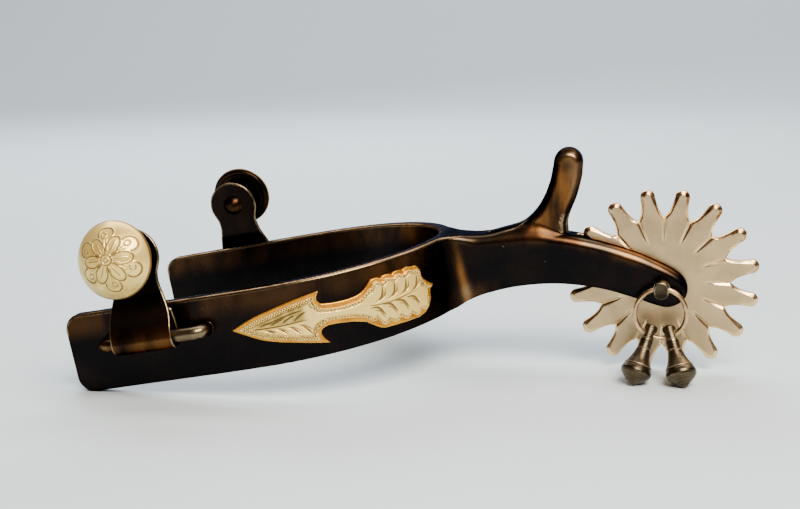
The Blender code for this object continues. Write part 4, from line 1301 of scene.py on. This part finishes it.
def make_plate(name, node, slot, levels, edge_round, engraved):
    """The arrow's gold rim, or its engraved silver face, between two levels above the arm."""
    low_level, high_level = levels

    def field(a, z, n):
        edge, along = ARROW.signed(a, z)
        top = high_level
        if engraved:
            top = high_level - 0.28 * arrow_cut(a, z, edge, along)
            edge = edge + face_inset(a, z)
        return round_both(edge, np.maximum(n - top, low_level - n), edge_round)

    low = (18.5, -20.6, low_level - 0.1)
    high = (84.5, -3.6, high_level + 0.1)
    step = ((0.16, 0.16, 0.13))
    points, quads, normals, bend = skin(field, low, high, step)
    placed, turned = bend_to_arm(points, normals)
    marks = {"bend": bend}
    if engraved:
        a, z, level = points.T
        edge, along = ARROW.signed(a, z)
        cut = arrow_cut(a, z, edge, along) * (level > high_level - 0.35)
        marks = {"cut": cut, "patina_and_shade": arrow_patina(a, z)}
    piece(name, placed, quads[:, ::-1], "spur_frame", slot, (node,), SPUR, turned, marks)


def make_arrow():
    rim_top = GAP + BACKING_THICK
    face_top = rim_top + GAP + OVERLAY_THICK
    make_plate("arrow_rim", "arrow_backing", "gold_brass", (-0.1, rim_top), 0.35, False)
    make_plate("arrow_face", "arrow_overlay", "silver", (rim_top - GAP, face_top), 0.25, True)


# ---------------------------------------------------------------- floor, light and camera

def make_floor():
    """A floor that sweeps up into a backdrop behind the spur."""
    start, bend = 0.9, 1.2
    profile = [(-4.0, 0.0), (start, 0.0)]
    profile += [(start + bend * sin(t), bend - bend * cos(t)) for t in np.linspace(0.05, pi / 2, 30)]
    profile.append((start + bend, 3.0))
    reach = 4.0
    points = [(x, y, z) for y, z in profile for x in (-reach, reach)]
    faces = [(2 * i, 2 * i + 1, 2 * i + 3, 2 * i + 2) for i in range(len(profile) - 1)]
    mesh = bpy.data.meshes.new("floor")
    mesh.from_pydata(points, [], faces)
    mesh.shade_smooth()
    floor = bpy.data.objects.new("floor", mesh)
    bpy.context.scene.collection.objects.link(floor)
    paint = bpy.data.materials.new("floor")
    paint.use_nodes = True
    shader = paint.node_tree.nodes["Principled BSDF"]
    shader.inputs["Base Color"].default_value = (0.60, 0.68, 0.72, 1.0)
    shader.inputs["Roughness"].default_value = 0.9
    mesh.materials.append(paint)


def area_light(name, place, target, size, power, colour):
    light = bpy.data.lights.new(name, "AREA")
    light.shape = "RECTANGLE"
    light.size, light.size_y = size
    light.energy = power
    light.color = colour
    made = bpy.data.objects.new(name, light)
    made.location = place
    made.rotation_euler = (Vector(target) - Vector(place)).to_track_quat("-Z", "Y").to_euler()
    bpy.context.scene.collection.objects.link(made)


def make_light():
    world = bpy.data.worlds.new("studio")
    world.use_nodes = True
    background = world.node_tree.nodes["Background"]
    background.inputs["Color"].default_value = (0.26, 0.14, 0.09, 1.0)
    background.inputs["Strength"].default_value = 0.38
    bpy.context.scene.world = world
    area_light("key", (0.28, -0.42, 0.62), (0, 0, 0.02), (0.5, 0.36), 13.0, (1.0, 0.93, 0.80))
    area_light("back", (-0.25, 0.65, 0.55), (0, 0, 0.02), (0.7, 0.3), 7.0, (0.92, 0.95, 1.0))
    area_light("backdrop", (0.0, 0.8, 1.9), (0.0, 1.5, 0.2), (3.0, 1.0), 55.0, (0.95, 0.97, 1.0))


def make_camera():
    """A camera set by its place from the rowel's pin, its bearing, its drop and its roll."""
    pin = Vector(JOINTS["rowel_spin"]["pos_m"])
    bearing, drop, roll = radians(11.148), radians(11.961), radians(-1.351)
    ahead = Vector((-sin(bearing) * cos(drop), cos(bearing) * cos(drop), -sin(drop)))
    right = Vector((cos(bearing), sin(bearing), 0))
    up = right.cross(ahead)
    turned_right = cos(roll) * right + sin(roll) * up
    turned_up = cos(roll) * up - sin(roll) * right
    camera = bpy.data.objects.new("camera", bpy.data.cameras.new("camera"))
    camera.data.lens = 53.13
    camera.data.sensor_width = 36.0
    camera.data.clip_start = 0.01
    turn = Matrix((turned_right, turned_up, -ahead)).transposed().to_4x4()
    camera.matrix_world = Matrix.Translation((pin.x - 0.0108, -0.3591, 0.1125)) @ turn
    bpy.context.scene.collection.objects.link(camera)
    bpy.context.scene.camera = camera


make_forging()
make_rowel()
make_pin()
make_ring()
make_bobs()
for side_name, side_sign in (("near", -1), ("far", 1)):
    make_staple(side_name, side_sign)
    make_hanger(side_name, side_sign)
    make_stud(side_name, side_sign)
    make_disc(side_name, side_sign)
    make_dome(side_name, side_sign)
make_arrow()
make_floor()
make_light()
make_camera()
